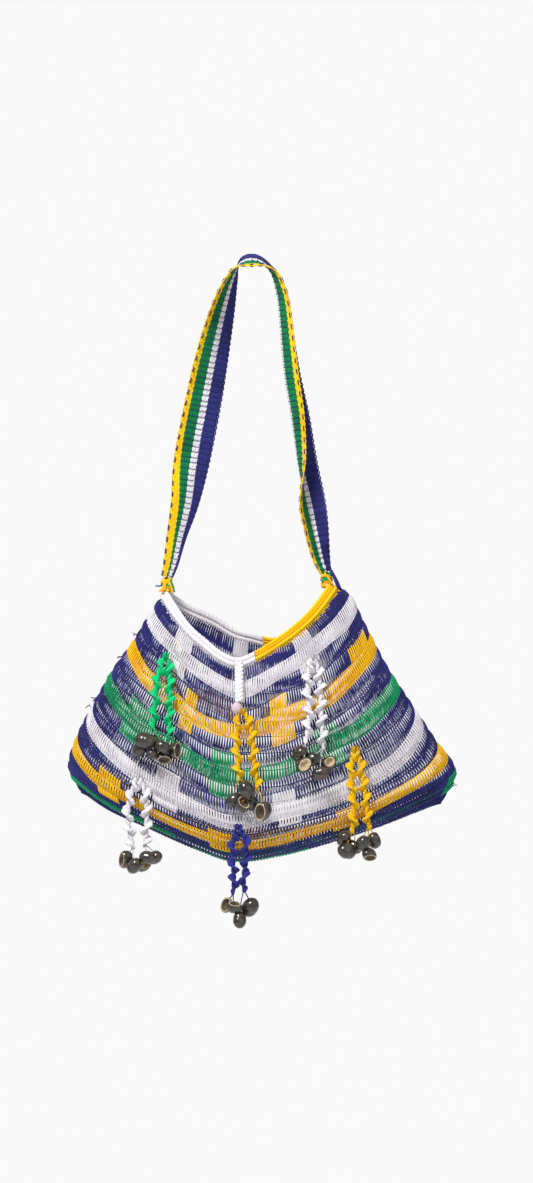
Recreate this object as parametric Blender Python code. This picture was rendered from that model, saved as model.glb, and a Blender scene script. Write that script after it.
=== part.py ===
"""A looped-string shoulder bag (bilum) hanging from its strap, with six tassels of seed shells.

The origin is the underside of the strap where a hand holds it. +Z is up, +X is to the right and
the front of the bag faces -Y. Sizes are in metres, angles in degrees.
"""

import math

import bmesh
import bpy
import numpy as np
from mathutils import Matrix, Vector

# --- Driving dimensions -------------------------------------------------------------------------

GAP = 0.0003  # clearance between pieces that touch

# Outline of the pouch: x, z of the rims' upper edges, the side folds and the bottom.
LEFT_JOINT = (-0.075, -0.312)
RIGHT_JOINT = (0.076, -0.307)
FRONT_RIM = (
    LEFT_JOINT, (-0.055, -0.3415), (-0.038, -0.3575), (-0.023, -0.3695), (-0.008, -0.3745),
    (0.009, -0.3675), (0.026, -0.3570), (0.043, -0.3445), (0.058, -0.3305), RIGHT_JOINT,
)
BACK_RIM = (
    LEFT_JOINT, (-0.056, -0.324), (-0.031, -0.3355), (-0.012, -0.347), (0.004, -0.352),
    (0.024, -0.357), (0.045, -0.351), (0.062, -0.332), RIGHT_JOINT,
)
LEFT_FOLD = (
    LEFT_JOINT, (-0.091, -0.330), (-0.106, -0.356), (-0.126, -0.384), (-0.145, -0.417),
    (-0.162, -0.450), (-0.170, -0.480), (-0.157, -0.505),
)
RIGHT_FOLD = (
    RIGHT_JOINT, (0.097, -0.315), (0.112, -0.343), (0.133, -0.383), (0.155, -0.417),
    (0.179, -0.453), (0.199, -0.484), (0.184, -0.515),
)
BOTTOM = (
    LEFT_FOLD[-1], (-0.130, -0.523), (-0.094, -0.539), (-0.045, -0.560), (-0.010, -0.570),
    (0.035, -0.564), (0.084, -0.551), (0.133, -0.535), RIGHT_FOLD[-1],
)

# Rows of loops, counted down from the lower edge of the binding, and the belly they make.
ROWS = 18
BINDING_ROWS = 0.8  # the binding takes the height of this many rows above row 0
ROW_ARCS = (  # row, length of cloth above it down the middle of a panel
    (-BINDING_ROWS, 0.0), (11.0, 0.156), (13.0, 0.172), (14.0, 0.186), (16.0, 0.200),
    (17.0, 0.212), (ROWS, 0.228),
)
BELLY_ARC = 0.156  # length of cloth above the widest part of the belly
BELLY_FALL = 0.830  # share of the pouch's height above that part
MOUTH_DEPTH = 0.024  # half the opening of the mouth, front to back
BELLY_DEPTH = 0.047  # half the thickness of the belly
NET_THICK = 0.0024
FOLD_REACH = 3  # how quickly a side fold's bow fades towards the middle
FOLD_SOLID = 2.2  # the wall is this much thicker where the cloth folds at the sides and bottom
SHALLOW = 0.020  # below this half depth the wall thins with the pouch
CREASES = (  # around at its top and bottom, first and last row, depth, half width in turns
    (0.115, 0.187, -0.2, 9.6, 0.0065, 0.020),
    (0.330, 0.352, 1.5, 13.0, 0.0035, 0.022),
    (0.225, 0.262, 5.5, 14.5, -0.0030, 0.030),
    (0.690, 0.650, 1.0, 11.0, -0.0050, 0.024),
    (0.830, 0.800, 2.0, 12.0, -0.0040, 0.022),
)
POUCH_AROUND = 52
POUCH_DOWN = 16
POUCH_TOP_ROW = 0.03

# Binding of the mouth.
BINDING_SHARE = 0.93  # of the height from the mouth's edge to row 0
BINDING_HALF_THICK = 0.0027
BINDING_SIDES = 8
BINDING_STEPS = 30
WHITE_FRONT = 0.263  # where the white run ends, in turns around the mouth from the left joint
WHITE_BACK = -0.262
RUN_GAP = 0.0008

# Strap: x and z of its middle line, half width, and the headings of its navy half and its yellow
# half seen from above, 0 being +X and 90 the back. It lies in the plane of the two joints.
STRAP_THICK = 0.0024
STRAP_STEPS = 56
STRAP_RISE = 0.40  # how far the navy edge stands above the yellow one over the hand, as a slope
STRAP = (
    (-0.0762, -0.2995, 0.0050, 10, 190), (-0.0722, -0.286, 0.0068, 12, 192),
    (-0.0668, -0.260, 0.0092, 12, 192), (-0.0590, -0.228, 0.0128, 10, 190),
    (-0.0532, -0.192, 0.0160, 8, 188), (-0.0413, -0.131, 0.0170, 20, 200),
    (-0.0320, -0.084, 0.0170, 34, 214), (-0.0225, -0.043, 0.0170, 52, 232),
    (-0.0150, -0.018, 0.0170, 68, 248), (-0.0075, -0.0030, 0.0165, 82, 262),
    (0.0030, 0.0016, 0.0160, 90, 270), (0.0140, -0.0010, 0.0155, 88, 280),
    (0.0230, -0.0110, 0.0160, 76, 292), (0.0272, -0.0260, 0.0165, 64, 302),
    (0.0300, -0.045, 0.0170, 56, 308), (0.0345, -0.100, 0.0175, 38, 316),
    (0.0392, -0.131, 0.0178, 30, 314), (0.0424, -0.150, 0.0180, 25, 310),
    (0.0485, -0.192, 0.0180, 17, 292), (0.0570, -0.228, 0.0165, 10, 246),
    (0.0625, -0.252, 0.0140, 8, 236), (0.0698, -0.281, 0.0085, 8, 214),
    (0.0745, -0.2945, 0.0052, 8, 198),
)
TIE_RADII = (0.0062, 0.0056, 0.0055)
TIES = (("strap_tie_left", -0.0763, -0.3057), ("strap_tie_right", 0.0755, -0.3007))

# Braid tab and knob at the front middle.
TAB_TOP = (-0.0074, -0.3830)
TAB_BOTTOM = (-0.0072, -0.4150)
TAB_WIDTH = 0.0066
TAB_THICK = 0.0030
TAB_PROUD = 0.0030  # clears the binding that it hangs over
KNOB_RADII = (0.0052, 0.0046, 0.0060)
KNOB = (-0.0096, -0.4222)

# Tassel cords: tassel, side, x and z of each cord's route from its top to its seed shells.
CORD_RADIUS = 0.0040
CORD_CLEAR = 0.0008
CORD_POINT_STEP = 0.017
TASSEL_CORDS = (
    (1, "left", ((-0.0812, -0.377), (-0.0850, -0.395), (-0.0868, -0.415), (-0.0885, -0.442))),
    (1, "right", ((-0.0722, -0.377), (-0.0728, -0.397), (-0.0728, -0.420), (-0.0735, -0.449))),
    (2, "left", ((-0.0125, -0.431), (-0.0098, -0.450), (-0.0092, -0.468), (-0.0070, -0.490))),
    (2, "right", ((0.0012, -0.426), (0.0045, -0.445), (0.0060, -0.465), (0.0105, -0.499))),
    (3, "left", ((0.0585, -0.378), (0.0570, -0.398), (0.0590, -0.420), (0.0560, -0.455))),
    (3, "right", ((0.0680, -0.378), (0.0690, -0.398), (0.0700, -0.425), (0.0720, -0.461))),
    (4, "left", ((-0.1065, -0.491), (-0.1110, -0.510), (-0.1120, -0.530), (-0.1070, -0.555))),
    (4, "right", ((-0.0970, -0.491), (-0.0950, -0.508), (-0.0945, -0.527), (-0.0955, -0.553))),
    (5, "left", ((-0.0130, -0.539), (-0.0140, -0.556), (-0.0122, -0.574), (-0.0125, -0.597))),
    (5, "right", ((-0.0035, -0.536), (0.0000, -0.555), (-0.0025, -0.574), (-0.0030, -0.595))),
    (6, "left", ((0.0970, -0.467), (0.0980, -0.487), (0.1005, -0.510), (0.1000, -0.540))),
    (6, "right", ((0.1065, -0.463), (0.1090, -0.485), (0.1125, -0.512), (0.1150, -0.537))),
)

# Seed shells: tassel, x, z, radius, layer (0 at the back, 1 in front), roll and tilt.
SEED_LAYER = 0.0095
SEED_FLATTEN = (1.0, 0.80, 0.88)
SEED_PASSES = 160
SEEDS = (
    (1, -0.0960, -0.4520, 0.0074, 1, 15, 20), (1, -0.1010, -0.4610, 0.0060, 0, 60, -15),
    (1, -0.0860, -0.4540, 0.0062, 0, -20, 10), (1, -0.0795, -0.4580, 0.0060, 1, 35, 30),
    (1, -0.0680, -0.4620, 0.0066, 0, -50, -20), (1, -0.0890, -0.4650, 0.0048, 1, 80, 0),
    (1, -0.0785, -0.4690, 0.0056, 0, 10, 40), (2, 0.0000, -0.4985, 0.0072, 1, 25, 10),
    (2, -0.0120, -0.5080, 0.0062, 0, -40, -20), (2, -0.0040, -0.5120, 0.0060, 1, 70, 15),
    (2, 0.0050, -0.5110, 0.0062, 0, 5, -10), (2, 0.0155, -0.5180, 0.0074, 1, -15, 30),
    (3, 0.0500, -0.4650, 0.0062, 0, 30, 10), (3, 0.0540, -0.4750, 0.0062, 1, -30, -25),
    (3, 0.0635, -0.4700, 0.0062, 0, 60, 20), (3, 0.0690, -0.4830, 0.0064, 1, 0, -10),
    (3, 0.0765, -0.4740, 0.0060, 0, -65, 15), (4, -0.1140, -0.5650, 0.0068, 0, 70, 20),
    (4, -0.1050, -0.5700, 0.0060, 1, -20, -10), (4, -0.0970, -0.5690, 0.0062, 0, 40, 25),
    (4, -0.0930, -0.5620, 0.0060, 1, -60, 0), (4, -0.0870, -0.5630, 0.0060, 0, 15, -30),
    (5, -0.0190, -0.6070, 0.0060, 0, 45, 10), (5, -0.0110, -0.6100, 0.0060, 1, -10, -20),
    (5, 0.0030, -0.6090, 0.0072, 0, 20, 15), (5, -0.0070, -0.6195, 0.0062, 1, -75, 30),
    (6, 0.0930, -0.5460, 0.0060, 0, 30, -15), (6, 0.0940, -0.5560, 0.0068, 1, -70, 10),
    (6, 0.1010, -0.5520, 0.0062, 0, 10, 25), (6, 0.1090, -0.5500, 0.0062, 1, 50, -20),
    (6, 0.1200, -0.5470, 0.0062, 0, -35, 5), (6, 0.1150, -0.5590, 0.0060, 1, 0, 15),
)

# Colours and roughness of the yarns and shells.
NAVY = ((0.025, 0.027, 0.15), 0.85)
WHITE = ((0.86, 0.82, 0.87), 0.80)
YELLOW = ((0.95, 0.55, 0.01), 0.80)
GREEN = ((0.01, 0.42, 0.15), 0.80)
SHELL = ((0.055, 0.045, 0.035), 0.30)
TASSEL_YARNS = {1: GREEN, 2: YELLOW, 3: WHITE, 4: WHITE, 5: NAVY, 6: YELLOW}


# --- Helpers ------------------------------------------------------------------------------------


class Track:
    """A smooth curve through a few points, read by the share of its length."""

    def __init__(self, points, steps=16):
        knots = np.array(points, float)
        padded = np.vstack((2 * knots[0] - knots[1], knots, 2 * knots[-1] - knots[-2]))
        s = np.linspace(0.0, 1.0, steps, endpoint=False)[:, None]
        runs = []
        for before, start, end, after in zip(padded, padded[1:], padded[2:], padded[3:]):
            bend = (2 * before - 5 * start + 4 * end - after) * s**2
            twist = (3 * start - before - 3 * end + after) * s**3
            runs.append(start + 0.5 * ((end - before) * s + bend + twist))
        self.points = np.vstack(runs + [knots[-1:]])
        pieces = np.linalg.norm(np.diff(self.points[:, :2], axis=0), axis=1)
        self.length = pieces.sum()
        self.shares = np.concatenate(([0.0], np.cumsum(pieces))) / self.length

    def at(self, share):
        """The values at a share of the length, from 0 to 1."""
        return np.array([np.interp(share, self.shares, column) for column in self.points.T])


def smooth_step(x):
    """Rises from 0 to 1 as x does, level at both ends."""
    x = min(1.0, max(0.0, x))
    return x * x * (3 - 2 * x)


def yarn(name, finish):
    """A plain Principled material of one colour and roughness."""
    colour, roughness = finish
    material = bpy.data.materials.new(name)
    material.use_nodes = True
    shader = material.node_tree.nodes["Principled BSDF"]
    shader.inputs["Base Color"].default_value = (*colour, 1.0)
    shader.inputs["Roughness"].default_value = roughness
    shader.inputs["Metallic"].default_value = 0.0
    return material


def add_object(name, data, material):
    """Links a mesh or curve into the scene under its node's name."""
    thing = bpy.data.objects.new(name, data)
    thing.data.materials.append(material)
    bpy.context.scene.collection.objects.link(thing)
    return thing


def mesh_object(name, bm, material):
    """Turns a bmesh into a smooth-shaded object."""
    mesh = bpy.data.meshes.new(name)
    bm.to_mesh(mesh)
    bm.free()
    mesh.shade_smooth()
    return add_object(name, mesh, material)


def wrapped_grid(bm, columns, rows, place):
    """Adds a grid and moves its corners to place(share across, share down)."""
    grid = bmesh.ops.create_grid(bm, x_segments=columns, y_segments=rows, size=0.5)
    for vert in grid["verts"]:
        vert.co = place(round(vert.co.x + 0.5, 6), round(0.5 - vert.co.y, 6))
    return grid["verts"]


# --- Net pouch ----------------------------------------------------------------------------------

OUTLINE = {
    "front": Track(FRONT_RIM),
    "back": Track(BACK_RIM),
    "left": Track(LEFT_FOLD),
    "right": Track(RIGHT_FOLD),
    "bottom": Track(BOTTOM),
}


def patch(rim, u, fall):
    """Blends a rim and the bottom into one x, z place of a panel, bowed at its ends like the folds."""
    place = (1 - fall) * OUTLINE[rim].at(u) + fall * OUTLINE["bottom"].at(u)
    for fold, weight in (("left", (1 - u) ** FOLD_REACH), ("right", u**FOLD_REACH)):
        edge = OUTLINE[fold]
        chord = (1 - fall) * edge.points[0] + fall * edge.points[-1]
        place = place + weight * (edge.at(fall) - chord)
    return place


def belly(row):
    """Half depth of the pouch's middle at a row, and the share of its height above that row."""
    arc = np.interp(row, *zip(*ROW_ARCS))
    if arc < BELLY_ARC:
        share = arc / BELLY_ARC
        depth = MOUTH_DEPTH + (BELLY_DEPTH - MOUTH_DEPTH) * math.sin(share * math.pi / 2)
        return depth, BELLY_FALL * share
    turn = (arc - BELLY_ARC) / (ROW_ARCS[-1][1] - BELLY_ARC) * math.pi / 2
    return BELLY_DEPTH * math.cos(turn), BELLY_FALL + (1 - BELLY_FALL) * math.sin(turn)


def crease(around, row):
    """How far the creases push the cloth along Y at a place."""
    push = 0.0
    for top, bottom, first, last, depth, width in CREASES:
        share = (row - first) / (last - first)
        ends = smooth_step(4 * share) * smooth_step(4 * (1 - share))
        line = top + (bottom - top) * share
        push += depth * ends * math.exp(-(((around - line) / width) ** 2))
    return push


def net_point(around, row, inset=0.0):
    """A place on the pouch: around runs in turns from the left fold over the front, inset inwards."""
    around %= 1.0
    angle = 2 * math.pi * around
    rim = "front" if math.sin(angle) >= 0 else "back"
    swell = abs(math.sin(angle))
    depth, middle_fall = belly(row)
    side_fall = (row + BINDING_ROWS) / (ROWS + BINDING_ROWS)
    fall = side_fall + (middle_fall - side_fall) * swell
    u = (1 - math.cos(angle)) / 2
    if inset:
        span = OUTLINE[rim].length + (OUTLINE["bottom"].length - OUTLINE[rim].length) * fall
        edge = FOLD_SOLID * inset / span
        u = edge + u * (1 - 2 * edge)
        depth -= inset * min(1.0, depth / SHALLOW)
    x, z = patch(rim, u, fall)
    z += FOLD_SOLID * inset * fall
    y = -depth * math.sin(angle) + crease(around, row) * swell
    return Vector((x, y, z))


def make_pouch():
    """The net as one open shell: the sheet runs up its outside, over the mouth's edge and down inside."""
    bm = bmesh.new()
    steps = 2 * POUCH_DOWN + 1

    def place(across, down):
        step = round(down * steps)
        outside = step <= POUCH_DOWN
        share = (step if outside else steps - step) / POUCH_DOWN
        row = POUCH_TOP_ROW + (ROWS - POUCH_TOP_ROW) * math.cos(share * math.pi / 2) ** 0.9
        return net_point(across, row, 0.0 if outside else NET_THICK)

    wrapped_grid(bm, POUCH_AROUND, steps, place)
    bmesh.ops.remove_doubles(bm, verts=bm.verts, dist=0.00002)
    bmesh.ops.recalc_face_normals(bm, faces=bm.faces)
    mesh_object("net_pouch", bm, yarn("net_pouch", NAVY))


def make_binding(name, start, end, finish):
    """A welt swept along the mouth between two places, closed at both ends."""
    bm = bmesh.new()
    centre_row = -BINDING_ROWS / 2

    def place(across, down):
        around = start + (end - start) * across
        middle = net_point(around, centre_row)
        fall = net_point(around, 0.0) - net_point(around, -BINDING_ROWS)
        along = net_point(around + 0.004, centre_row) - net_point(around - 0.004, centre_row)
        out = along.cross(fall).normalized()
        angle = 2 * math.pi * down
        return (
            middle
            + fall * BINDING_SHARE / 2 * math.cos(angle)
            + out * BINDING_HALF_THICK * math.sin(angle)
        )

    wrapped_grid(bm, BINDING_STEPS, BINDING_SIDES, place)
    bmesh.ops.remove_doubles(bm, verts=bm.verts, dist=0.00002)
    bmesh.ops.holes_fill(bm, edges=[edge for edge in bm.edges if edge.is_boundary], sides=0)
    bmesh.ops.recalc_face_normals(bm, faces=bm.faces)
    mesh_object(name, bm, yarn(name, finish))


# --- Strap --------------------------------------------------------------------------------------


def heading(degrees, tangent, rise):
    """A level direction, tipped by rise over the hand and squared to the strap's run."""
    angle = math.radians(degrees)
    way = Vector((math.cos(angle), math.sin(angle), rise * math.sin(angle)))
    return (way - tangent * way.dot(tangent)).normalized()


def strap_place(track, across, along):
    """A place on the strap's middle sheet: across runs from the yellow edge to the navy edge."""
    x, z, half_width, navy_way, yellow_way = track.at(along)
    ahead, behind = track.at(min(1.0, along + 0.01)), track.at(max(0.0, along - 0.01))
    tangent = Vector((ahead[0] - behind[0], 0.0, ahead[1] - behind[1])).normalized()
    rise = STRAP_RISE * abs(tangent.x)
    side = across - 0.5
    way = heading(navy_way if side >= 0 else yellow_way, tangent, rise)
    return Vector((x, 0.0, z)) + way * abs(side) * 2 * half_width


def make_strap():
    """The band, bent along its middle line where it has folded over below the hand."""
    track = Track(STRAP)
    bm = bmesh.new()
    wrapped_grid(bm, 4, STRAP_STEPS, lambda across, down: strap_place(track, across, down))
    bmesh.ops.recalc_face_normals(bm, faces=bm.faces)
    strap = mesh_object("strap", bm, yarn("strap", YELLOW))
    thick = strap.modifiers.new("band", "SOLIDIFY")
    thick.thickness = STRAP_THICK
    thick.offset = 0.0
    thick.use_even_offset = True


# --- Ties, tab and knob -------------------------------------------------------------------------


def add_pebble(name, centre, radii, turns, material):
    """A low rounded lump, turned about X and then Y."""
    bm = bmesh.new()
    bmesh.ops.create_icosphere(bm, subdivisions=2, radius=1.0)
    bmesh.ops.scale(bm, vec=radii, verts=bm.verts)
    tilt, roll = (math.radians(angle) for angle in turns)
    turn = Matrix.Rotation(roll, 3, "Y") @ Matrix.Rotation(tilt, 3, "X")
    bmesh.ops.rotate(bm, matrix=turn, verts=bm.verts)
    bmesh.ops.translate(bm, vec=centre, verts=bm.verts)
    mesh_object(name, bm, material)


def front_points():
    """The front panel sampled as an array of x, y, z."""
    shares = np.linspace(0.02, 0.48, 70)
    rows = np.linspace(-BINDING_ROWS, ROWS, 110)
    return np.array([net_point(around, row) for around in shares for row in rows])


FRONT = front_points()


def belly_y(x, z):
    """The y of the net's front at an x, z place, from the four nearest samples."""
    away = (FRONT[:, 0] - x) ** 2 + (FRONT[:, 2] - z) ** 2
    return FRONT[np.argsort(away)[:4], 1].min()


def hanging_y(x, top, z):
    """Where something hung at the height top lies: as far out as the cloth above z pushes it."""
    heights = np.linspace(top, z, 12)
    return min(belly_y(x, height) for height in heights)


def make_tab():
    """The flat braid over the front of the mouth, and its knob."""
    bm = bmesh.new()

    def place(across, down):
        x = TAB_TOP[0] + (TAB_BOTTOM[0] - TAB_TOP[0]) * down + (across - 0.5) * TAB_WIDTH
        z = TAB_TOP[1] + (TAB_BOTTOM[1] - TAB_TOP[1]) * down
        out = TAB_THICK / 2 + TAB_PROUD
        return Vector((x, belly_y(TAB_TOP[0], z) - out, z))

    wrapped_grid(bm, 2, 6, place)
    bmesh.ops.recalc_face_normals(bm, faces=bm.faces)
    tab = mesh_object("centre_tab", bm, yarn("centre_tab", WHITE))
    thick = tab.modifiers.new("braid", "SOLIDIFY")
    thick.thickness = TAB_THICK
    thick.offset = 0.0
    x, z = KNOB
    y = belly_y(x, z) - KNOB_RADII[1] - CORD_CLEAR
    add_pebble("centre_knob", (x, y, z), KNOB_RADII, (0, 20), yarn("centre_knob", WHITE))


# --- Tassels ------------------------------------------------------------------------------------


def cord_route(places):
    """The middle line of a tassel cord: it hangs from its first place, clear of the cloth."""
    track = Track(places)
    count = max(4, round(track.length / CORD_POINT_STEP)) + 1
    route = []
    for share in np.linspace(0.0, 1.0, count):
        x, z = track.at(share)
        y = hanging_y(x, places[0][1], z) - CORD_RADIUS - CORD_CLEAR
        route.append(Vector((x, y, z)))
    return route


def make_cord(name, route, material):
    """A round cord along its route, as a curve with closed ends."""
    curve = bpy.data.curves.new(name, "CURVE")
    curve.dimensions = "3D"
    curve.bevel_depth = CORD_RADIUS
    curve.bevel_resolution = 2
    curve.use_fill_caps = True
    spline = curve.splines.new("POLY")
    spline.points.add(len(route) - 1)
    for point, place in zip(spline.points, route):
        point.co = (*place, 1.0)
    spline.use_smooth = True
    add_object(name, curve, material)


def settle(seeds, fixed):
    """Pushes seed shells apart, mostly front to back, until none touches another or a cord."""
    centres = [Vector(seed["centre"]) for seed in seeds]
    for _ in range(SEED_PASSES):
        for i, seed in enumerate(seeds):
            others = [(centres[j], seeds[j]["radius"]) for j in range(len(seeds)) if j != i]
            for place, radius in others + fixed:
                apart = centres[i] - place
                room = seed["radius"] + radius + 2 * GAP
                if apart.length < room:
                    way = Vector((apart.x, apart.y * 2.5, apart.z)).normalized()
                    centres[i] += way * (room - apart.length) * 0.5
            limit = seed["wall"] - seed["radius"] - CORD_CLEAR
            centres[i].y = min(centres[i].y, limit)
    return centres


def make_tassels():
    """Six pairs of cords, each pair with its cluster of seed shells."""
    shell = yarn("seed_shell", SHELL)
    for tassel, finish in TASSEL_YARNS.items():
        pairs = [(side, places) for number, side, places in TASSEL_CORDS if number == tassel]
        material = yarn(f"tassel_{tassel}", finish)
        fixed = []
        for side, places in pairs:
            route = cord_route(places)
            make_cord(f"tassel_{tassel}_{side}", route, material)
            end = Track([tuple(place) for place in route[-3:]])
            for share in (0.4, 0.6, 0.8, 1.0):
                fixed.append((Vector(end.at(share)), CORD_RADIUS * 1.05))
        top = pairs[0][1][0][1]
        seeds = []
        for number, x, z, radius, layer, roll, tilt in SEEDS:
            if number == tassel:
                wall = hanging_y(x, top, z)
                y = wall - radius - CORD_CLEAR - layer * SEED_LAYER
                turns = (tilt, roll)
                seeds.append({"centre": (x, y, z), "radius": radius, "wall": wall, "turns": turns})
        for index, (seed, centre) in enumerate(zip(seeds, settle(seeds, fixed)), start=1):
            radii = tuple(seed["radius"] * share for share in SEED_FLATTEN)
            add_pebble(f"seed_{tassel}_{index}", centre, radii, seed["turns"], shell)


# --- Build --------------------------------------------------------------------------------------


def clear_scene():
    """Removes whatever the scene holds."""
    for thing in list(bpy.data.objects):
        bpy.data.objects.remove(thing, do_unlink=True)


def main():
    """Builds the bag's solids."""
    clear_scene()
    make_pouch()
    make_binding("mouth_binding_white", WHITE_FRONT, WHITE_BACK, WHITE)
    make_binding("mouth_binding_yellow", WHITE_FRONT + RUN_GAP, 1 + WHITE_BACK - RUN_GAP, YELLOW)
    make_strap()
    for name, x, z in TIES:
        add_pebble(name, (x, 0.0, z), TIE_RADII, (0, 0), yarn(name, YELLOW))
    make_tab()
    make_tassels()


main()
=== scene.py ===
"""Looks of a looped-string shoulder bag (bilum) with a striped strap and six shell tassels.

Every yarn of the net is laid on the sheet that the model's pouch follows: loops row by row, in the
colours of a small chart. The strap, welts, tassel ribbons and seed shells lie where their solids do.
All sizes are in metres; the front of the bag faces -Y.
"""

import logging
import math
from dataclasses import dataclass, field
from enum import Enum
from typing import Callable, Sequence

import bmesh
import bpy
import numpy as np
from mathutils import Matrix, Vector


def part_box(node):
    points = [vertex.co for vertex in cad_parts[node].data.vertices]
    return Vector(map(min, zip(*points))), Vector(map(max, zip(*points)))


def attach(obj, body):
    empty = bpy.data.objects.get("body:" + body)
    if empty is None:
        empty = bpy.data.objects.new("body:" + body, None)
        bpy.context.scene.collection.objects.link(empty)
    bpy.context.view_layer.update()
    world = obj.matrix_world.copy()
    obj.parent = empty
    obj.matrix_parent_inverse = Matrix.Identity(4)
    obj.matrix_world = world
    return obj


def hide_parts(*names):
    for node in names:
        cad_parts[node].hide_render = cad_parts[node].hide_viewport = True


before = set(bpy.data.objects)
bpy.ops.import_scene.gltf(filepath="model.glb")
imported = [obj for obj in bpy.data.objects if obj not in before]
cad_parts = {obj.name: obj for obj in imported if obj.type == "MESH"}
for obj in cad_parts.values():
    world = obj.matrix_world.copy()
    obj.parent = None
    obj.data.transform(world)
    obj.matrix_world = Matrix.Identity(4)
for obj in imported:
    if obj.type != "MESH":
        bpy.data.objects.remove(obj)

LOG = logging.getLogger("bag")
BODY = "root"
FULL_TURN = 2 * math.pi


class Hue(Enum):
    """The four yarns of the bag, as slots of a piece's materials."""

    NAVY = 0
    WHITE = 1
    YELLOW = 2
    GREEN = 3


# --- Finishes -----------------------------------------------------------------------------------


def add_node(tree: bpy.types.NodeTree, kind: str, **inputs: object) -> bpy.types.Node:
    """Adds a shader node.

    Args:
        tree: The material's or world's node tree.
        kind: The node's type, without the prefix that all share.
        inputs: Values for its sockets, by name.

    Returns:
        The node.
    """
    node = tree.nodes.new("ShaderNode" + kind)
    for name, value in inputs.items():
        node.inputs[name].default_value = value
    return node


def add_ramp(tree: bpy.types.NodeTree, low: tuple[float, tuple],
             high: tuple[float, tuple]) -> bpy.types.Node:
    """Adds a colour ramp of two colours.

    Args:
        tree: The material's node tree.
        low: Where the first colour stands, and the colour.
        high: Where the second stands, and the colour.

    Returns:
        The node.
    """
    ramp = add_node(tree, "ValToRGB")
    for element, (position, colour) in zip(ramp.color_ramp.elements, (low, high)):
        element.position = position
        element.color = (*colour, 1.0)
    return ramp


def wire(tree: bpy.types.NodeTree, *runs: tuple) -> None:
    """Links sockets, each run given as node, output, node, input."""
    for source, output, target, socket in runs:
        tree.links.new(source.outputs[output], target.inputs[socket])


@dataclass(frozen=True)
class Yarn:
    """A matte, slightly fuzzy yarn with a twist, uneven dye and painted shade in the dips of its plies."""

    name: str
    colour: tuple[float, float, float]
    # shade is a painted shade, which the noises mix into the lit colour.
    shade: tuple[float, float, float]
    roughness: float = 0.78
    sheen: float = 0.06
    patch_scale: float = 42.0
    ply_scale: float = 950.0
    ply_share: float = 0.55
    ply_height: float = 0.0004
    relief: float = 0.25

    def make(self) -> bpy.types.Material:
        """Builds the node material.

        Returns:
            The material, coloured by two noises between its lit colour and its painted shade, and ridged by
            the twist of the plies: the broad noise gives uneven dye, the fine one, which also sets the bump,
            paints shade where the ridges dip.
        """
        material = bpy.data.materials.new(self.name)
        material.use_nodes = True
        tree = material.node_tree
        shader = tree.nodes["Principled BSDF"]
        shader.inputs["Roughness"].default_value = self.roughness
        shader.inputs["Sheen Weight"].default_value = self.sheen
        shader.inputs["Sheen Roughness"].default_value = 0.5
        shader.inputs["Specular IOR Level"].default_value = 0.25
        place = add_node(tree, "TexCoord")
        broad = add_node(tree, "TexNoise", Scale=self.patch_scale, Detail=3.0)
        fine = add_node(tree, "TexNoise", Scale=self.ply_scale, Detail=2.0)
        blend = add_node(tree, "Math")
        blend.operation = "MULTIPLY_ADD"
        blend.inputs[1].default_value = self.ply_share
        # Painted shade: the ramp turns the yarn to its shade colour where the noises are low, and the fine
        # noise is low in the dips of the bump.
        spread = add_ramp(tree, (0.42, self.shade), (0.86, self.colour))
        bump = add_node(tree, "Bump", Strength=self.relief, Distance=self.ply_height)
        wire(
            tree,
            (place, "Object", broad, "Vector"), (place, "Object", fine, "Vector"),
            (fine, "Fac", blend, 0), (broad, "Fac", blend, 2), (blend, "Value", spread, "Fac"),
            (spread, "Color", shader, "Base Color"),
            (fine, "Fac", bump, "Height"), (bump, "Normal", shader, "Normal"),
        )
        return material


@dataclass(frozen=True)
class StitchedYarn(Yarn):
    """A yarn worked into a strip: rows of stitches follow the strip's own UV map."""

    stitches_along: float = 60.0
    stitches_across: float = 3.0
    stitch_depth: float = 0.6
    stitch_height: float = 0.0007

    def make(self) -> bpy.types.Material:
        """Builds the yarn and adds its stitches.

        Returns:
            The material, whose bump and shade repeat along the strip.
        """
        material = super().make()
        tree = material.node_tree
        place = add_node(tree, "UVMap")
        stretch = add_node(tree, "Mapping", Scale=(self.stitches_across, self.stitches_along, 1.0))
        wave = add_node(tree, "TexWave", Scale=0.32, Distortion=1.2, Detail=1.0)
        wave.wave_type = "BANDS"
        wave.bands_direction = "DIAGONAL"
        bump = add_node(tree, "Bump", Strength=self.stitch_depth, Distance=self.stitch_height)
        shader = tree.nodes["Principled BSDF"]
        under = shader.inputs["Normal"].links[0].from_node
        wire(
            tree,
            (place, "UV", stretch, "Vector"), (stretch, "Vector", wave, "Vector"),
            (wave, "Fac", bump, "Height"), (under, "Normal", bump, "Normal"),
            (bump, "Normal", shader, "Normal"),
        )
        return material


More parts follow.
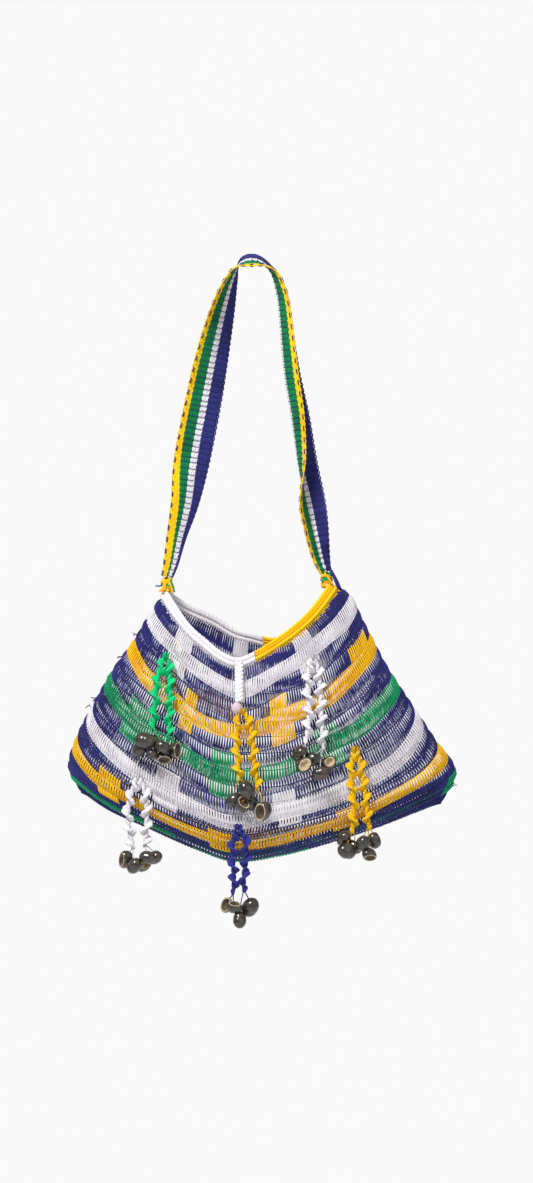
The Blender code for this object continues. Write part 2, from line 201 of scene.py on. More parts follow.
@dataclass(frozen=True)
class NutShell:
    """A smooth nut shell: dark and glossy outside, or pale and dull where it is cut."""

    name: str
    dark: tuple[float, float, float]
    light: tuple[float, float, float]
    roughness: float
    coat: float
    streaks: float = 130.0
    streak_stretch: float = 2.6
    streak_height: float = 0.0004

    def make(self) -> bpy.types.Material:
        """Builds the node material.

        Returns:
            The material, mottled by a stretched noise.
        """
        material = bpy.data.materials.new(self.name)
        material.use_nodes = True
        tree = material.node_tree
        shader = tree.nodes["Principled BSDF"]
        shader.inputs["Coat Weight"].default_value = self.coat
        shader.inputs["Coat Roughness"].default_value = 0.22
        place = add_node(tree, "TexCoord")
        stretch = add_node(tree, "Mapping", Scale=(1.0, 1.0, self.streak_stretch))
        noise = add_node(tree, "TexNoise", Scale=self.streaks, Detail=5.0)
        spread = add_ramp(tree, (0.38, self.dark), (0.72, self.light))
        wear = add_node(tree, "MapRange")
        wear.inputs["To Min"].default_value = self.roughness - 0.06
        wear.inputs["To Max"].default_value = self.roughness + 0.14
        bump = add_node(tree, "Bump", Strength=0.15, Distance=self.streak_height)
        wire(
            tree,
            (place, "Object", stretch, "Vector"), (stretch, "Vector", noise, "Vector"),
            (noise, "Fac", spread, "Fac"), (noise, "Fac", wear, "Value"),
            (noise, "Fac", bump, "Height"), (spread, "Color", shader, "Base Color"),
            (wear, "Result", shader, "Roughness"), (bump, "Normal", shader, "Normal"),
        )
        return material


# Each finish's lit colour and its shade.
NAVY = ((0.032, 0.034, 0.215), (0.006, 0.006, 0.045))
WHITE = ((0.900, 0.870, 0.920), (0.620, 0.560, 0.640))
YELLOW = ((1.000, 0.590, 0.003), (0.900, 0.350, 0.002))
GREEN = ((0.004, 0.360, 0.140), (0.002, 0.160, 0.062))
BRIGHT_GREEN = ((0.000, 0.780, 0.270), (0.000, 0.480, 0.150))
BRIGHT_YELLOW = ((1.000, 0.630, 0.001), (1.000, 0.420, 0.000))
BRIGHT_WHITE = ((0.950, 0.930, 0.975), (0.800, 0.760, 0.850))
BRIGHT_NAVY = ((0.035, 0.040, 0.330), (0.015, 0.016, 0.140))
KNOB_PINK = ((0.860, 0.720, 0.760), (0.660, 0.500, 0.560))

YARNS = {
    Hue.NAVY: Yarn("navy_yarn", *NAVY),
    Hue.WHITE: Yarn("white_yarn", *WHITE),
    Hue.YELLOW: Yarn("yellow_yarn", *YELLOW),
    Hue.GREEN: Yarn("green_yarn", *GREEN),
}


class Wardrobe:
    """Makes each finish once and hands it out by name."""

    def __init__(self) -> None:
        """Starts empty."""
        self.made: dict[str, bpy.types.Material] = {}

    def get(self, finish: Yarn | NutShell) -> bpy.types.Material:
        """Returns the material of a finish, made the first time it is asked for."""
        if finish.name not in self.made:
            self.made[finish.name] = finish.make()
        return self.made[finish.name]

    def yarns(self) -> list[bpy.types.Material]:
        """Returns the four yarns in the order of Hue."""
        return [self.get(YARNS[hue]) for hue in Hue]


# --- Shapes from curves and grids ---------------------------------------------------------------


class Track:
    """A smooth curve through a few points, read by the share of its length."""

    def __init__(self, knots: Sequence[Sequence[float]], steps: int = 16, plane: int = 2) -> None:
        """Runs a Catmull-Rom curve through the knots.

        Args:
            knots: The points, each with as many values as wanted.
            steps: Samples between two knots.
            plane: How many of the first values measure its length.
        """
        knots = np.array(knots, float)
        padded = np.vstack((2 * knots[0] - knots[1], knots, 2 * knots[-1] - knots[-2]))
        s = np.linspace(0.0, 1.0, steps, endpoint=False)[:, None]
        runs = []
        for before, start, end, after in zip(padded, padded[1:], padded[2:], padded[3:]):
            bend = (2 * before - 5 * start + 4 * end - after) * s**2
            twist = (3 * start - before - 3 * end + after) * s**3
            runs.append(start + 0.5 * ((end - before) * s + bend + twist))
        self.points = np.vstack(runs + [knots[-1:]])
        pieces = np.linalg.norm(np.diff(self.points[:, :plane], axis=0), axis=1)
        self.length = float(pieces.sum())
        self.shares = np.concatenate(([0.0], np.cumsum(pieces))) / self.length

    def at(self, share: np.ndarray | float) -> np.ndarray:
        """Returns the values at shares of the length, along the last axis."""
        columns = [np.interp(share, self.shares, column) for column in self.points.T]
        return np.stack(columns, axis=-1)


def unit(vectors: np.ndarray) -> np.ndarray:
    """Returns the vectors scaled to a length of one."""
    return vectors / np.maximum(np.linalg.norm(vectors, axis=-1, keepdims=True), 1e-12)


def smooth_step(x: np.ndarray) -> np.ndarray:
    """Returns a rise from 0 to 1, level at both ends."""
    x = np.clip(x, 0.0, 1.0)
    return x * x * (3 - 2 * x)


@dataclass
class Strand:
    """One run of yarn."""

    points: np.ndarray
    hue: Hue
    fullness: np.ndarray | float = 1.0


def add_piece(name: str, mesh: bpy.types.Mesh, materials: Sequence[bpy.types.Material]) -> bpy.types.Object:
    """Links a finished mesh as a piece that rides on the bag.

    Args:
        name: The piece's name.
        mesh: Its mesh, in place.
        materials: Its materials, in slot order.

    Returns:
        The new object.
    """
    mesh.name = name
    piece = bpy.data.objects.new(name, mesh)
    bpy.context.scene.collection.objects.link(piece)
    if not mesh.materials:
        for material in materials:
            mesh.materials.append(material)
    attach(piece, BODY)
    return piece


def yarn_piece(name: str, strands: Sequence[Strand], radius: float,
               materials: Sequence[bpy.types.Material], roundness: int = 0) -> bpy.types.Object:
    """Lays yarns along their strands and joins them into one mesh.

    Args:
        name: The piece's name.
        strands: The runs of yarn, each in its own hue.
        radius: Of the yarn where its fullness is 1.
        materials: One for each hue.
        roundness: The curve's bevel resolution: 0 gives four sides, 1 six.

    Returns:
        The piece.
    """
    curve = bpy.data.curves.new(name, "CURVE")
    curve.dimensions = "3D"
    curve.bevel_depth = radius
    curve.bevel_resolution = roundness
    curve.use_fill_caps = True
    for material in materials:
        curve.materials.append(material)
    for strand in strands:
        count = len(strand.points)
        spline = curve.splines.new("POLY")
        spline.points.add(count - 1)
        spline.points.foreach_set("co", np.column_stack((strand.points, np.ones(count))).ravel())
        spline.points.foreach_set("radius", np.broadcast_to(strand.fullness, count).copy())
        spline.material_index = strand.hue.value if len(materials) > 1 else 0
        spline.use_smooth = True
    line = bpy.data.objects.new(name + "_line", curve)
    bpy.context.scene.collection.objects.link(line)
    mesh = bpy.data.meshes.new_from_object(line.evaluated_get(bpy.context.evaluated_depsgraph_get()))
    bpy.data.objects.remove(line, do_unlink=True)
    bm = bmesh.new()
    bm.from_mesh(mesh)
    open_ends = [vert for vert in bm.verts if vert.is_boundary]
    bmesh.ops.remove_doubles(bm, verts=open_ends, dist=0.000001)
    bm.to_mesh(mesh)
    bm.free()
    return add_piece(name, mesh, materials)


def wrapped_grid(across: int, down: int,
                 place: Callable[[np.ndarray, np.ndarray], np.ndarray]) -> bmesh.types.BMesh:
    """Makes a grid with its UV map and moves its corners onto a shape.

    Args:
        across: Faces across.
        down: Faces down.
        place: Gives the places for arrays of shares across and down.

    Returns:
        The bmesh.
    """
    bm = bmesh.new()
    bm.loops.layers.uv.new("UVMap")
    bmesh.ops.create_grid(bm, x_segments=across, y_segments=down, size=0.5, calc_uvs=True)
    shares = np.array([vert.co[:2] for vert in bm.verts])
    for vert, co in zip(bm.verts, place(shares[:, 0] + 0.5, 0.5 - shares[:, 1])):
        vert.co = co
    return bm


def grid_piece(name: str, bm: bmesh.types.BMesh, materials: Sequence[bpy.types.Material]) -> bpy.types.Object:
    """Turns a bmesh into a smooth piece with its faces pointing outwards.

    Args:
        name: The piece's name.
        bm: Its bmesh, which is freed.
        materials: Its materials, in slot order.

    Returns:
        The piece.
    """
    bmesh.ops.recalc_face_normals(bm, faces=bm.faces)
    mesh = bpy.data.meshes.new(name)
    bm.to_mesh(mesh)
    bm.free()
    mesh.shade_smooth()
    return add_piece(name, mesh, materials)


# --- The pouch's form ---------------------------------------------------------------------------


@dataclass
class PouchForm:
    """The sheet that the net follows: two panels between the mouth, the side folds and the bottom."""

    left_joint: tuple[float, float] = (-0.075, -0.312)
    right_joint: tuple[float, float] = (0.076, -0.307)
    rows: int = 18
    binding_rows: float = 0.8
    belly_arc: float = 0.156
    belly_fall: float = 0.830
    mouth_depth: float = 0.024
    belly_depth: float = 0.047
    fold_reach: int = 3
    row_arcs: tuple = (  # row, and how far down the middle of the cloth it lies
        (-0.8, 0.0), (11.0, 0.156), (13.0, 0.172), (14.0, 0.186), (16.0, 0.200),
        (17.0, 0.212), (18.0, 0.228),
    )
    creases: tuple = (  # around at top and bottom, first and last row, depth, half width
        (0.115, 0.187, -0.2, 9.6, 0.0065, 0.020),
        (0.330, 0.352, 1.5, 13.0, 0.0035, 0.022),
        (0.225, 0.262, 5.5, 14.5, -0.0030, 0.030),
        (0.690, 0.650, 1.0, 11.0, -0.0050, 0.024),
        (0.830, 0.800, 2.0, 12.0, -0.0040, 0.022),
    )
    edges: dict[str, Track] = field(default_factory=dict)

    def __post_init__(self) -> None:
        """Draws the outline."""
        left_end, right_end = (-0.157, -0.505), (0.184, -0.515)
        self.edges["front"] = Track((
            self.left_joint, (-0.055, -0.3415), (-0.038, -0.3575), (-0.023, -0.3695),
            (-0.008, -0.3745), (0.009, -0.3675), (0.026, -0.3570), (0.043, -0.3445),
            (0.058, -0.3305), self.right_joint,
        ))
        self.edges["back"] = Track((
            self.left_joint, (-0.056, -0.324), (-0.031, -0.3355), (-0.012, -0.347),
            (0.004, -0.352), (0.024, -0.357), (0.045, -0.351), (0.062, -0.332),
            self.right_joint,
        ))
        self.edges["left"] = Track((
            self.left_joint, (-0.091, -0.330), (-0.106, -0.356), (-0.126, -0.384),
            (-0.145, -0.417), (-0.162, -0.450), (-0.170, -0.480), left_end,
        ))
        self.edges["right"] = Track((
            self.right_joint, (0.097, -0.315), (0.112, -0.343), (0.133, -0.383),
            (0.155, -0.417), (0.179, -0.453), (0.199, -0.484), right_end,
        ))
        self.edges["bottom"] = Track((
            left_end, (-0.130, -0.523), (-0.094, -0.539), (-0.045, -0.560), (-0.010, -0.570),
            (0.035, -0.564), (0.084, -0.551), (0.133, -0.535), right_end,
        ))

    def patch(self, rim: str, u: np.ndarray, fall: np.ndarray) -> np.ndarray:
        """Blends a panel from its rim, the bottom and both folds.

        Args:
            rim: front or back.
            u: Shares across, from the left fold.
            fall: Shares of the way down.

        Returns:
            The x, z places.
        """
        fall_column = fall[:, None]
        place = (1 - fall_column) * self.edges[rim].at(u) + fall_column * self.edges["bottom"].at(u)
        for fold, weight in (("left", (1 - u) ** self.fold_reach), ("right", u**self.fold_reach)):
            edge = self.edges[fold]
            chord = (1 - fall_column) * edge.points[0] + fall_column * edge.points[-1]
            place = place + weight[:, None] * (edge.at(fall) - chord)
        return place

    def belly(self, row: np.ndarray) -> tuple[np.ndarray, np.ndarray]:
        """Bellies the middle of the pouch out and rounds it in again to the bottom.

        Args:
            row: Rows from the mouth.

        Returns:
            The half depth of the middle at each row, and the row's share of the height.
        """
        arc = np.interp(row, *zip(*self.row_arcs))
        share = np.minimum(arc / self.belly_arc, 1.0)
        swell = (self.belly_depth - self.mouth_depth) * np.sin(share * math.pi / 2)
        turn = np.clip((arc - self.belly_arc) / (self.row_arcs[-1][1] - self.belly_arc), 0, 1)
        turn = turn * math.pi / 2
        upper = arc < self.belly_arc
        depth = np.where(upper, self.mouth_depth + swell, self.belly_depth * np.cos(turn))
        lower_fall = self.belly_fall + (1 - self.belly_fall) * np.sin(turn)
        return depth, np.where(upper, self.belly_fall * share, lower_fall)

    def crease(self, around: np.ndarray, row: np.ndarray) -> np.ndarray:
        """Adds the soft creases.

        Args:
            around: Turns around the pouch.
            row: Rows from the mouth.

        Returns:
            How far the creases push the cloth along Y.
        """
        push = np.zeros(len(around))
        for top, bottom, first, last, depth, width in self.creases:
            share = (row - first) / (last - first)
            ends = smooth_step(4 * share) * smooth_step(4 * (1 - share))
            line = top + (bottom - top) * share
            push += depth * ends * np.exp(-(((around - line) / width) ** 2))
        return push

    def sheet(self, around: np.ndarray, row: np.ndarray) -> np.ndarray:
        """Places points on the sheet.

        Args:
            around: Turns around the pouch, from the left fold over the front.
            row: Rows from the mouth.

        Returns:
            The places.
        """
        around = np.mod(around, 1.0)
        angle = FULL_TURN * around
        swell = np.abs(np.sin(angle))
        depth, middle_fall = self.belly(row)
        side_fall = (row + self.binding_rows) / (self.rows + self.binding_rows)
        fall = side_fall + (middle_fall - side_fall) * swell
        u = (1 - np.cos(angle)) / 2
        front = (np.sin(angle) >= 0)[:, None]
        xz = np.where(front, self.patch("front", u, fall), self.patch("back", u, fall))
        y = -depth * np.sin(angle) + self.crease(around, row) * swell
        return np.column_stack((xz[:, 0], y, xz[:, 1]))

    def outward(self, around: np.ndarray, row: np.ndarray) -> np.ndarray:
        """Returns the sheet's outward normals."""
        along = self.sheet(around + 0.002, row) - self.sheet(around - 0.002, row)
        above = np.maximum(row - 0.08, -self.binding_rows)
        below = np.minimum(row + 0.08, self.rows)
        fall = self.sheet(around, below) - self.sheet(around, above)
        return unit(np.cross(fall, along))

    def place(self, around: np.ndarray, row: np.ndarray, lift: np.ndarray | float) -> np.ndarray:
        """Returns places a lift outside the sheet."""
        around, row = np.broadcast_arrays(np.asarray(around, float), np.asarray(row, float))
        lift = np.broadcast_to(lift, around.shape)
        return self.sheet(around, row) + self.outward(around, row) * lift[:, None]


FORM = PouchForm()


class FrontFace:
    """The front panel sampled, so that what hangs before it can rest on it."""

    def __init__(self, form: PouchForm) -> None:
        """Samples the panel."""
        shares, rows = np.meshgrid(
            np.linspace(0.02, 0.48, 70), np.linspace(-form.binding_rows, form.rows, 110),
            indexing="ij",
        )
        self.points = form.sheet(shares.ravel(), rows.ravel())

    def y(self, x: float, z: float) -> float:
        """Returns the front's y at an x, z place."""
        away = (self.points[:, 0] - x) ** 2 + (self.points[:, 2] - z) ** 2
        return float(self.points[np.argsort(away)[:4], 1].min())

    def hanging_y(self, x: float, top: float, z: float) -> float:
        """Returns the y of something hung from a height, pushed out by the cloth above z."""
        return min(self.y(x, height) for height in np.linspace(top, z, 12))


# --- Net ----------------------------------------------------------------------------------------


@dataclass(frozen=True)
class Cross:
    """A cross block: a stretch of loops in a coloured row and in the rows above and below it."""

    row: int
    x: float
    width: float
    rows: tuple[int, ...] = (-1, 0, 1)


@dataclass(frozen=True)
class Swap:
    """A stretch of one row that is looped in another hue."""

    row: int
    start: float
    end: float
    hue: Hue


@dataclass
class Net:
    """The looped net of both panels."""

    form: PouchForm
    wardrobe: Wardrobe
    yarn_radius: float = 0.00048
    lift: float = -0.0011
    arch: float = 0.0011
    slant: float = 0.34
    full_pitch: float = 0.0027
    wander: float = 0.022
    reach_spread: float = 0.035
    girth_spread: float = 0.07
    fold_fullness: float = 0.12
    fold_share: float = 0.08
    line_fullness: float = 1.18
    # Slow waves of the rows: height in rows, rate along the row, shift from row to row.
    waves: tuple = ((0.09, 13.0, 0.9), (0.07, 31.0, -0.6))
    # By row: how wide a loop is, how full its yarn, and how full again on the back panel.
    widths: tuple = ((1, 0.0024), (5, 0.0026), (9, 0.0027), (14, 0.0030), (18, 0.0030))
    density: tuple = ((1, 1.15), (2, 1.10), (3, 1.00), (12, 1.00), (14, 1.05), (15, 1.35), (18, 1.50))
    back_density: tuple = ((1, 1.65), (2, 1.25), (4, 0.95), (6, 0.62), (18, 0.75))
    lines: dict[int, Hue] = field(default_factory=lambda: {
        2: Hue.WHITE, 5: Hue.YELLOW, 8: Hue.GREEN, 11: Hue.WHITE, 14: Hue.YELLOW, 17: Hue.GREEN,
    })
    front_crosses: tuple[Cross, ...] = (
        Cross(2, -0.0640, 0.016), Cross(2, 0.0570, 0.016),
        Cross(5, -0.0560, 0.012), Cross(5, 0.0320, 0.019), Cross(5, 0.1110, 0.016, (-1, 0)),
        Cross(8, -0.1030, 0.024), Cross(8, -0.0240, 0.021), Cross(8, 0.0790, 0.021),
        Cross(11, -0.0765, 0.021), Cross(11, 0.0385, 0.022),
        Cross(14, -0.1316, 0.020), Cross(14, -0.0260, 0.022), Cross(14, 0.0936, 0.021),
    )
    back_crosses: tuple[Cross, ...] = (
        Cross(2, -0.0070, 0.017), Cross(2, 0.0650, 0.016),
        Cross(5, -0.0720, 0.019), Cross(5, 0.0300, 0.019),
        Cross(8, -0.1050, 0.022), Cross(8, -0.0120, 0.021), Cross(8, 0.0900, 0.021),
        Cross(11, -0.0640, 0.021), Cross(11, 0.0550, 0.022),
        Cross(14, -0.1180, 0.021), Cross(14, 0.0020, 0.022), Cross(14, 0.1180, 0.021),
    )
    front_swaps: tuple[Swap, ...] = (
        Swap(17, -0.068, 0.187, Hue.NAVY), Swap(18, -0.052, 0.058, Hue.GREEN),
        Swap(16, 0.190, 0.210, Hue.GREEN),
    )
    # One loop: places across it, down the row and out of the sheet.
    loop_across: tuple[float, ...] = (0.0, 0.22, 0.36, 0.41, 0.50, 0.59, 0.64, 0.78)
    loop_down: tuple[float, ...] = (1.05, 0.85, 0.45, 0.08, -0.10, 0.08, 0.45, 0.85)
    loop_out: tuple[float, ...] = (-0.9, 0.1, 0.9, 0.5, -0.5, 0.5, 0.9, 0.1)

    def turns(self, back: bool, row: float) -> tuple[int, Callable[[np.ndarray], np.ndarray]]:
        """Spaces the loops of a row evenly along the cloth of one panel.

        Args:
            back: Whether it is the back panel.
            row: The row's number from the mouth.

        Returns:
            How many loops it has, and a function from the count of loops to turns around.
        """
        around = np.linspace(0.5, 0.9999, 500) if back else np.linspace(0.0, 0.4999, 500)
        points = self.form.sheet(around, np.full(500, row - 0.5))
        walked = np.concatenate(([0.0], np.cumsum(np.linalg.norm(np.diff(points, axis=0), axis=1))))
        loops = round(walked[-1] / np.interp(row, *zip(*self.widths)))
        share = walked / walked[-1] * loops
        return loops, lambda count: np.interp(count, share, around)

    def chart(self, row: int, around: np.ndarray, crosses: Sequence[Cross],
              swaps: Sequence[Swap]) -> list[tuple[Hue, float]]:
        """Charts one row.

        Args:
            row: Its number from the mouth.
            around: Where its loops are, in turns.
            crosses: The panel's cross blocks.
            swaps: Its stretches in another hue.

        Returns:
            For each loop its hue and how full its yarn is.
        """
        plain_loop = (self.lines.get(row, Hue.NAVY), self.line_fullness if row in self.lines else 1.0)
        chart = [plain_loop] * len(around)
        for cross in crosses:
            if row - cross.row not in cross.rows:
                continue
            line = self.form.sheet(around, np.full(len(around), cross.row - 0.5))
            for loop in np.flatnonzero(np.abs(line[:, 0] - cross.x) < cross.width / 2):
                chart[loop] = (self.lines[cross.row], self.line_fullness)
        here = self.form.sheet(around, np.full(len(around), row - 0.5))[:, 0]
        for swap in swaps:
            if swap.row == row:
                for loop in np.flatnonzero((here > swap.start) & (here < swap.end)):
                    chart[loop] = (swap.hue, 1.0)
        return chart

    def row_strands(self, row: int, back: bool, rng: np.random.Generator) -> list[Strand]:
        """Loops one row, one strand for each run of a hue.

        Args:
            row: Its number from the mouth.
            back: Whether it is on the back panel.
            rng: The seeded source of its unevenness.

        Returns:
            The strands.
        """
        loops, turn_at = self.turns(back, row)
        steps = len(self.loop_across)
        down = np.tile(self.loop_down, loops)
        count = np.repeat(np.arange(loops), steps) + np.tile(self.loop_across, loops)
        lean = self.slant * np.repeat(self.leans(loops, row), steps) * (down - 0.5)
        wander = rng.normal(0.0, self.wander, len(count))
        reach = np.repeat(rng.normal(0.0, self.reach_spread, loops), steps)
        place = np.clip(count + lean + wander, 0.0, loops)
        depth = row - 1 + down + reach * (down - 0.5) + self.wave(place / loops, row - 1 + down)
        depth = np.clip(depth, -0.12, self.form.rows)
        lift = self.lift + self.arch * np.tile(self.loop_out, loops)
        points = self.form.place(turn_at(place), depth, lift)
        girths = np.repeat(self.girths(loops, turn_at, row, rng), steps)
        girths = girths * (np.interp(row, *zip(*self.back_density)) if back else 1.0)
        middles = turn_at(np.arange(loops) + 0.5)
        chart = self.chart(row, middles, self.back_crosses if back else self.front_crosses,
                           () if back else self.front_swaps)
        strands, start = [], 0
        for loop in range(1, loops + 1):
            if loop == loops or chart[loop] != chart[start]:
                hue, fullness = chart[start]
                run = slice(start * steps, min(loop * steps + 1, len(points)))
                strands.append(Strand(points[run], hue, girths[run] * fullness))
                start = loop
        return strands

    def leans(self, loops: int, row: int) -> np.ndarray:
        """Returns which way each loop of a row leans, and how much."""
        share = np.linspace(0.0, 1.0, loops)
        return np.sin(5.0 * share + 1.7 * row) * 0.5 + (0.8 if row % 2 else -0.5)

    def girths(self, loops: int, turn_at: Callable, row: int,
               rng: np.random.Generator) -> np.ndarray:
        """Fills the yarn out by the mouth, the folds and the bottom.

        Args:
            loops: How many loops the row has.
            turn_at: Gives turns around for a count of loops.
            row: The row's number from the mouth.
            rng: The seeded source of its unevenness.

        Returns:
            How full each loop's yarn is.
        """
        ends = self.form.sheet(turn_at(np.arange(loops + 1.0)), np.full(loops + 1, row - 0.5))
        width = np.linalg.norm(np.diff(ends, axis=0), axis=1)
        girth = np.clip(width / self.full_pitch, 0.5, 1.15) * np.interp(row, *zip(*self.density))
        share = np.linspace(0.0, 1.0, loops)
        near, far = share / self.fold_share, (1 - share) / self.fold_share
        fold = np.exp(-(near**2)) + np.exp(-(far**2))
        return girth * (1 + self.fold_fullness * fold) * rng.normal(1.0, self.girth_spread, loops)

    def wave(self, share: np.ndarray, row: np.ndarray) -> np.ndarray:
        """Returns the slow rise and fall of the rows, in rows."""
        swing = sum(height * np.sin(rate * share + shift * row) for height, rate, shift in self.waves)
        return swing * smooth_step(row / 2) * smooth_step((self.form.rows - row) / 2)

    def line_strands(self, back: bool) -> list[Strand]:
        """Runs a plain yarn along each joint between rows.

        Args:
            back: Whether it is on the back panel.

        Returns:
            One strand for each joint between rows.
        """
        strands = []
        for row in range(1, self.form.rows):
            loops, turn_at = self.turns(back, row + 0.5)
            share = np.linspace(0.0, 1.0, 2 * loops)
            depth = row + self.wave(share, np.full(len(share), float(row))) - 0.02
            points = self.form.place(turn_at(share * loops), depth, self.lift + 0.0002)
            beside = self.lines.get(row, self.lines.get(row + 1, Hue.NAVY))
            strands.append(Strand(points, Hue.NAVY if row > 16 else beside, 1.0))
        return strands

    def build(self) -> None:
        for name, back in (("front", False), ("back", True)):
            rng = np.random.default_rng(7 + back)
            strands = []
            for row in range(1, self.form.rows + 1):
                strands += self.row_strands(row, back, rng)
            net = yarn_piece(f"net_{name}", strands, self.yarn_radius,
                             self.wardrobe.yarns())
            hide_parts("net_pouch")
            lines = yarn_piece(f"net_{name}_row_lines", self.line_strands(back),
                               self.yarn_radius, self.wardrobe.yarns())
            LOG.info("net_%s: %d strands, %d faces", name, len(strands), len(net.data.polygons))


# --- Mouth binding ------------------------------------------------------------------------------


@dataclass
class MouthBinding:
    """Two rolled welts around the mouth, white to the left and yellow to the right."""

    form: PouchForm
    wardrobe: Wardrobe
    net: Net
    height: float = 0.90
    half_thick: float = 0.0027
    rib_pitch: float = 0.0032
    rib_depth: float = 0.035
    profile: int = 48
    stations: int = 300
    groove_depth: float = 0.52
    groove_width: float = 0.030
    white_front: float = 0.263
    white_back: float = -0.262
    stitch_radius: float = 0.00042
    # The welts' own dyes, brighter than the net's: lit colour and shade, and the shade alone also paints
    # shade into the grooves between the rolls.
    white: tuple = ((0.950, 0.930, 0.970), (0.760, 0.710, 0.790))
    yellow: tuple = ((1.000, 0.710, 0.002), (1.000, 0.430, 0.001))

    def section(self, down: np.ndarray, grooves: Sequence[float]) -> np.ndarray:
        """Rolls the section, pinched where two rolls meet.

        Args:
            down: Shares around the section.
            grooves: Where the rolls meet.

        Returns:
            The radius at each share, where 1 is the full size.
        """
        angle = FULL_TURN * down
        radius = np.ones_like(angle)
        for groove in grooves:
            away = np.abs(np.mod(down - groove + 0.5, 1.0) - 0.5)
            radius -= self.groove_depth * np.exp(-((away / self.groove_width) ** 2))
        return radius * (1 + 0.12 * np.sin(2 * angle) ** 2)

    def make_run(self, name: str, start: float, end: float, grooves: Sequence[float],
                 finish: Yarn) -> bpy.types.Object:
        """Sweeps one run of welts.

        Args:
            name: The piece's name, which is also its node's.
            start: Where it starts, in turns around the mouth.
            end: Where it ends.
            grooves: Where the rolls meet, as shares around the section.
            finish: Its yarn.

        Returns:
            The piece.
        """
        middle_row = -self.form.binding_rows / 2

        def place(across: np.ndarray, down: np.ndarray) -> np.ndarray:
            """Returns places on the welts, along the mouth and around their section."""
            around = start + (end - start) * across
            row = np.full(len(around), middle_row)
            middle = self.form.sheet(around, row)
            fall = self.form.sheet(around, row * 0) - self.form.sheet(around, row * 2)
            along = self.form.sheet(around + 0.004, row) - self.form.sheet(around - 0.004, row)
            out = unit(np.cross(fall, along))
            angle = FULL_TURN * down
            ribs = 1 + self.rib_depth * np.cos(across * 0.21 / self.rib_pitch * FULL_TURN)
            radius = (self.section(down, grooves) * ribs)[:, None]
            return (
                middle
                + fall * (self.height / 2 * np.cos(angle))[:, None] * radius
                + out * (self.half_thick * np.sin(angle))[:, None] * radius
            )

        bm = wrapped_grid(self.stations, self.profile, place)
        layer = bm.loops.layers.uv.active
        # Painted shade: the faces in the grooves between the rolls take a second material, the yarn in its
        # shade colour alone.
        for face in bm.faces:
            down = 1 - sum(loop[layer].uv.y for loop in face.loops) / 4
            if any(abs(down - groove) < self.groove_width * 0.8 for groove in grooves):
                face.material_index = 1
        bmesh.ops.remove_doubles(bm, verts=bm.verts, dist=0.000005)
        bmesh.ops.holes_fill(bm, edges=[edge for edge in bm.edges if edge.is_boundary], sides=0)
        # The grooves' painted shade: a copy of the yarn with its shade colour for both colours.
        shaded = Yarn(finish.name + "_groove", finish.shade, finish.shade)
        welt = grid_piece(name + "_welts", bm, [self.wardrobe.get(finish), self.wardrobe.get(shaded)])
        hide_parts(name)
        return welt

    def fringe(self, name: str, back: bool, split: float) -> bpy.types.Object:
        """Short loops that join the welts to the first row.

        Args:
            name: The piece's name.
            back: Whether they are on the back panel.
            split: Where white gives way to yellow, in turns.

        Returns:
            The piece.
        """
        loops, turn_at = self.net.turns(back, 0.5)
        rng = np.random.default_rng(31 + back)
        count = np.repeat(np.arange(loops), 4) + np.tile((0.1, 0.4, 0.6, 0.9), loops)
        reach = np.repeat(rng.uniform(0.10, 0.28, loops), 4)
        down = np.tile((0.0, 1.0, 1.0, 0.0), loops) * reach - 0.08
        around = turn_at(count)
        points = self.form.place(around, down, -0.0001)
        white = around < split if not back else around > split
        strands = [Strand(points[mask], hue)
                   for mask, hue in ((white, Hue.WHITE), (~white, Hue.YELLOW))]
        return yarn_piece(name, strands, self.stitch_radius, self.wardrobe.yarns())

    def build(self) -> None:
        """Makes both runs and their stitches."""
        turns = (self.white_front, self.white_back)
        white = StitchedYarn("white_welt", *self.white, stitches_along=4.0, stitches_across=420.0,
                             stitch_depth=0.35)
        yellow = StitchedYarn("yellow_welt", *self.yellow, stitches_along=4.0, stitches_across=420.0,
                              stitch_depth=0.35)
        self.make_run("mouth_binding_white", turns[0], turns[1], (0.235, 0.765), white)
        self.make_run("mouth_binding_yellow", turns[0] + 0.0008, 1 + turns[1] - 0.0008,
                      (0.20, 0.30, 0.70, 0.80), yellow)
        self.fringe("mouth_stitches_front", False, turns[0])
        self.fringe("mouth_stitches_back", True, 1 + turns[1])
        LOG.info("mouth binding: two runs with their stitches")


# --- Strap --------------------------------------------------------------------------------------


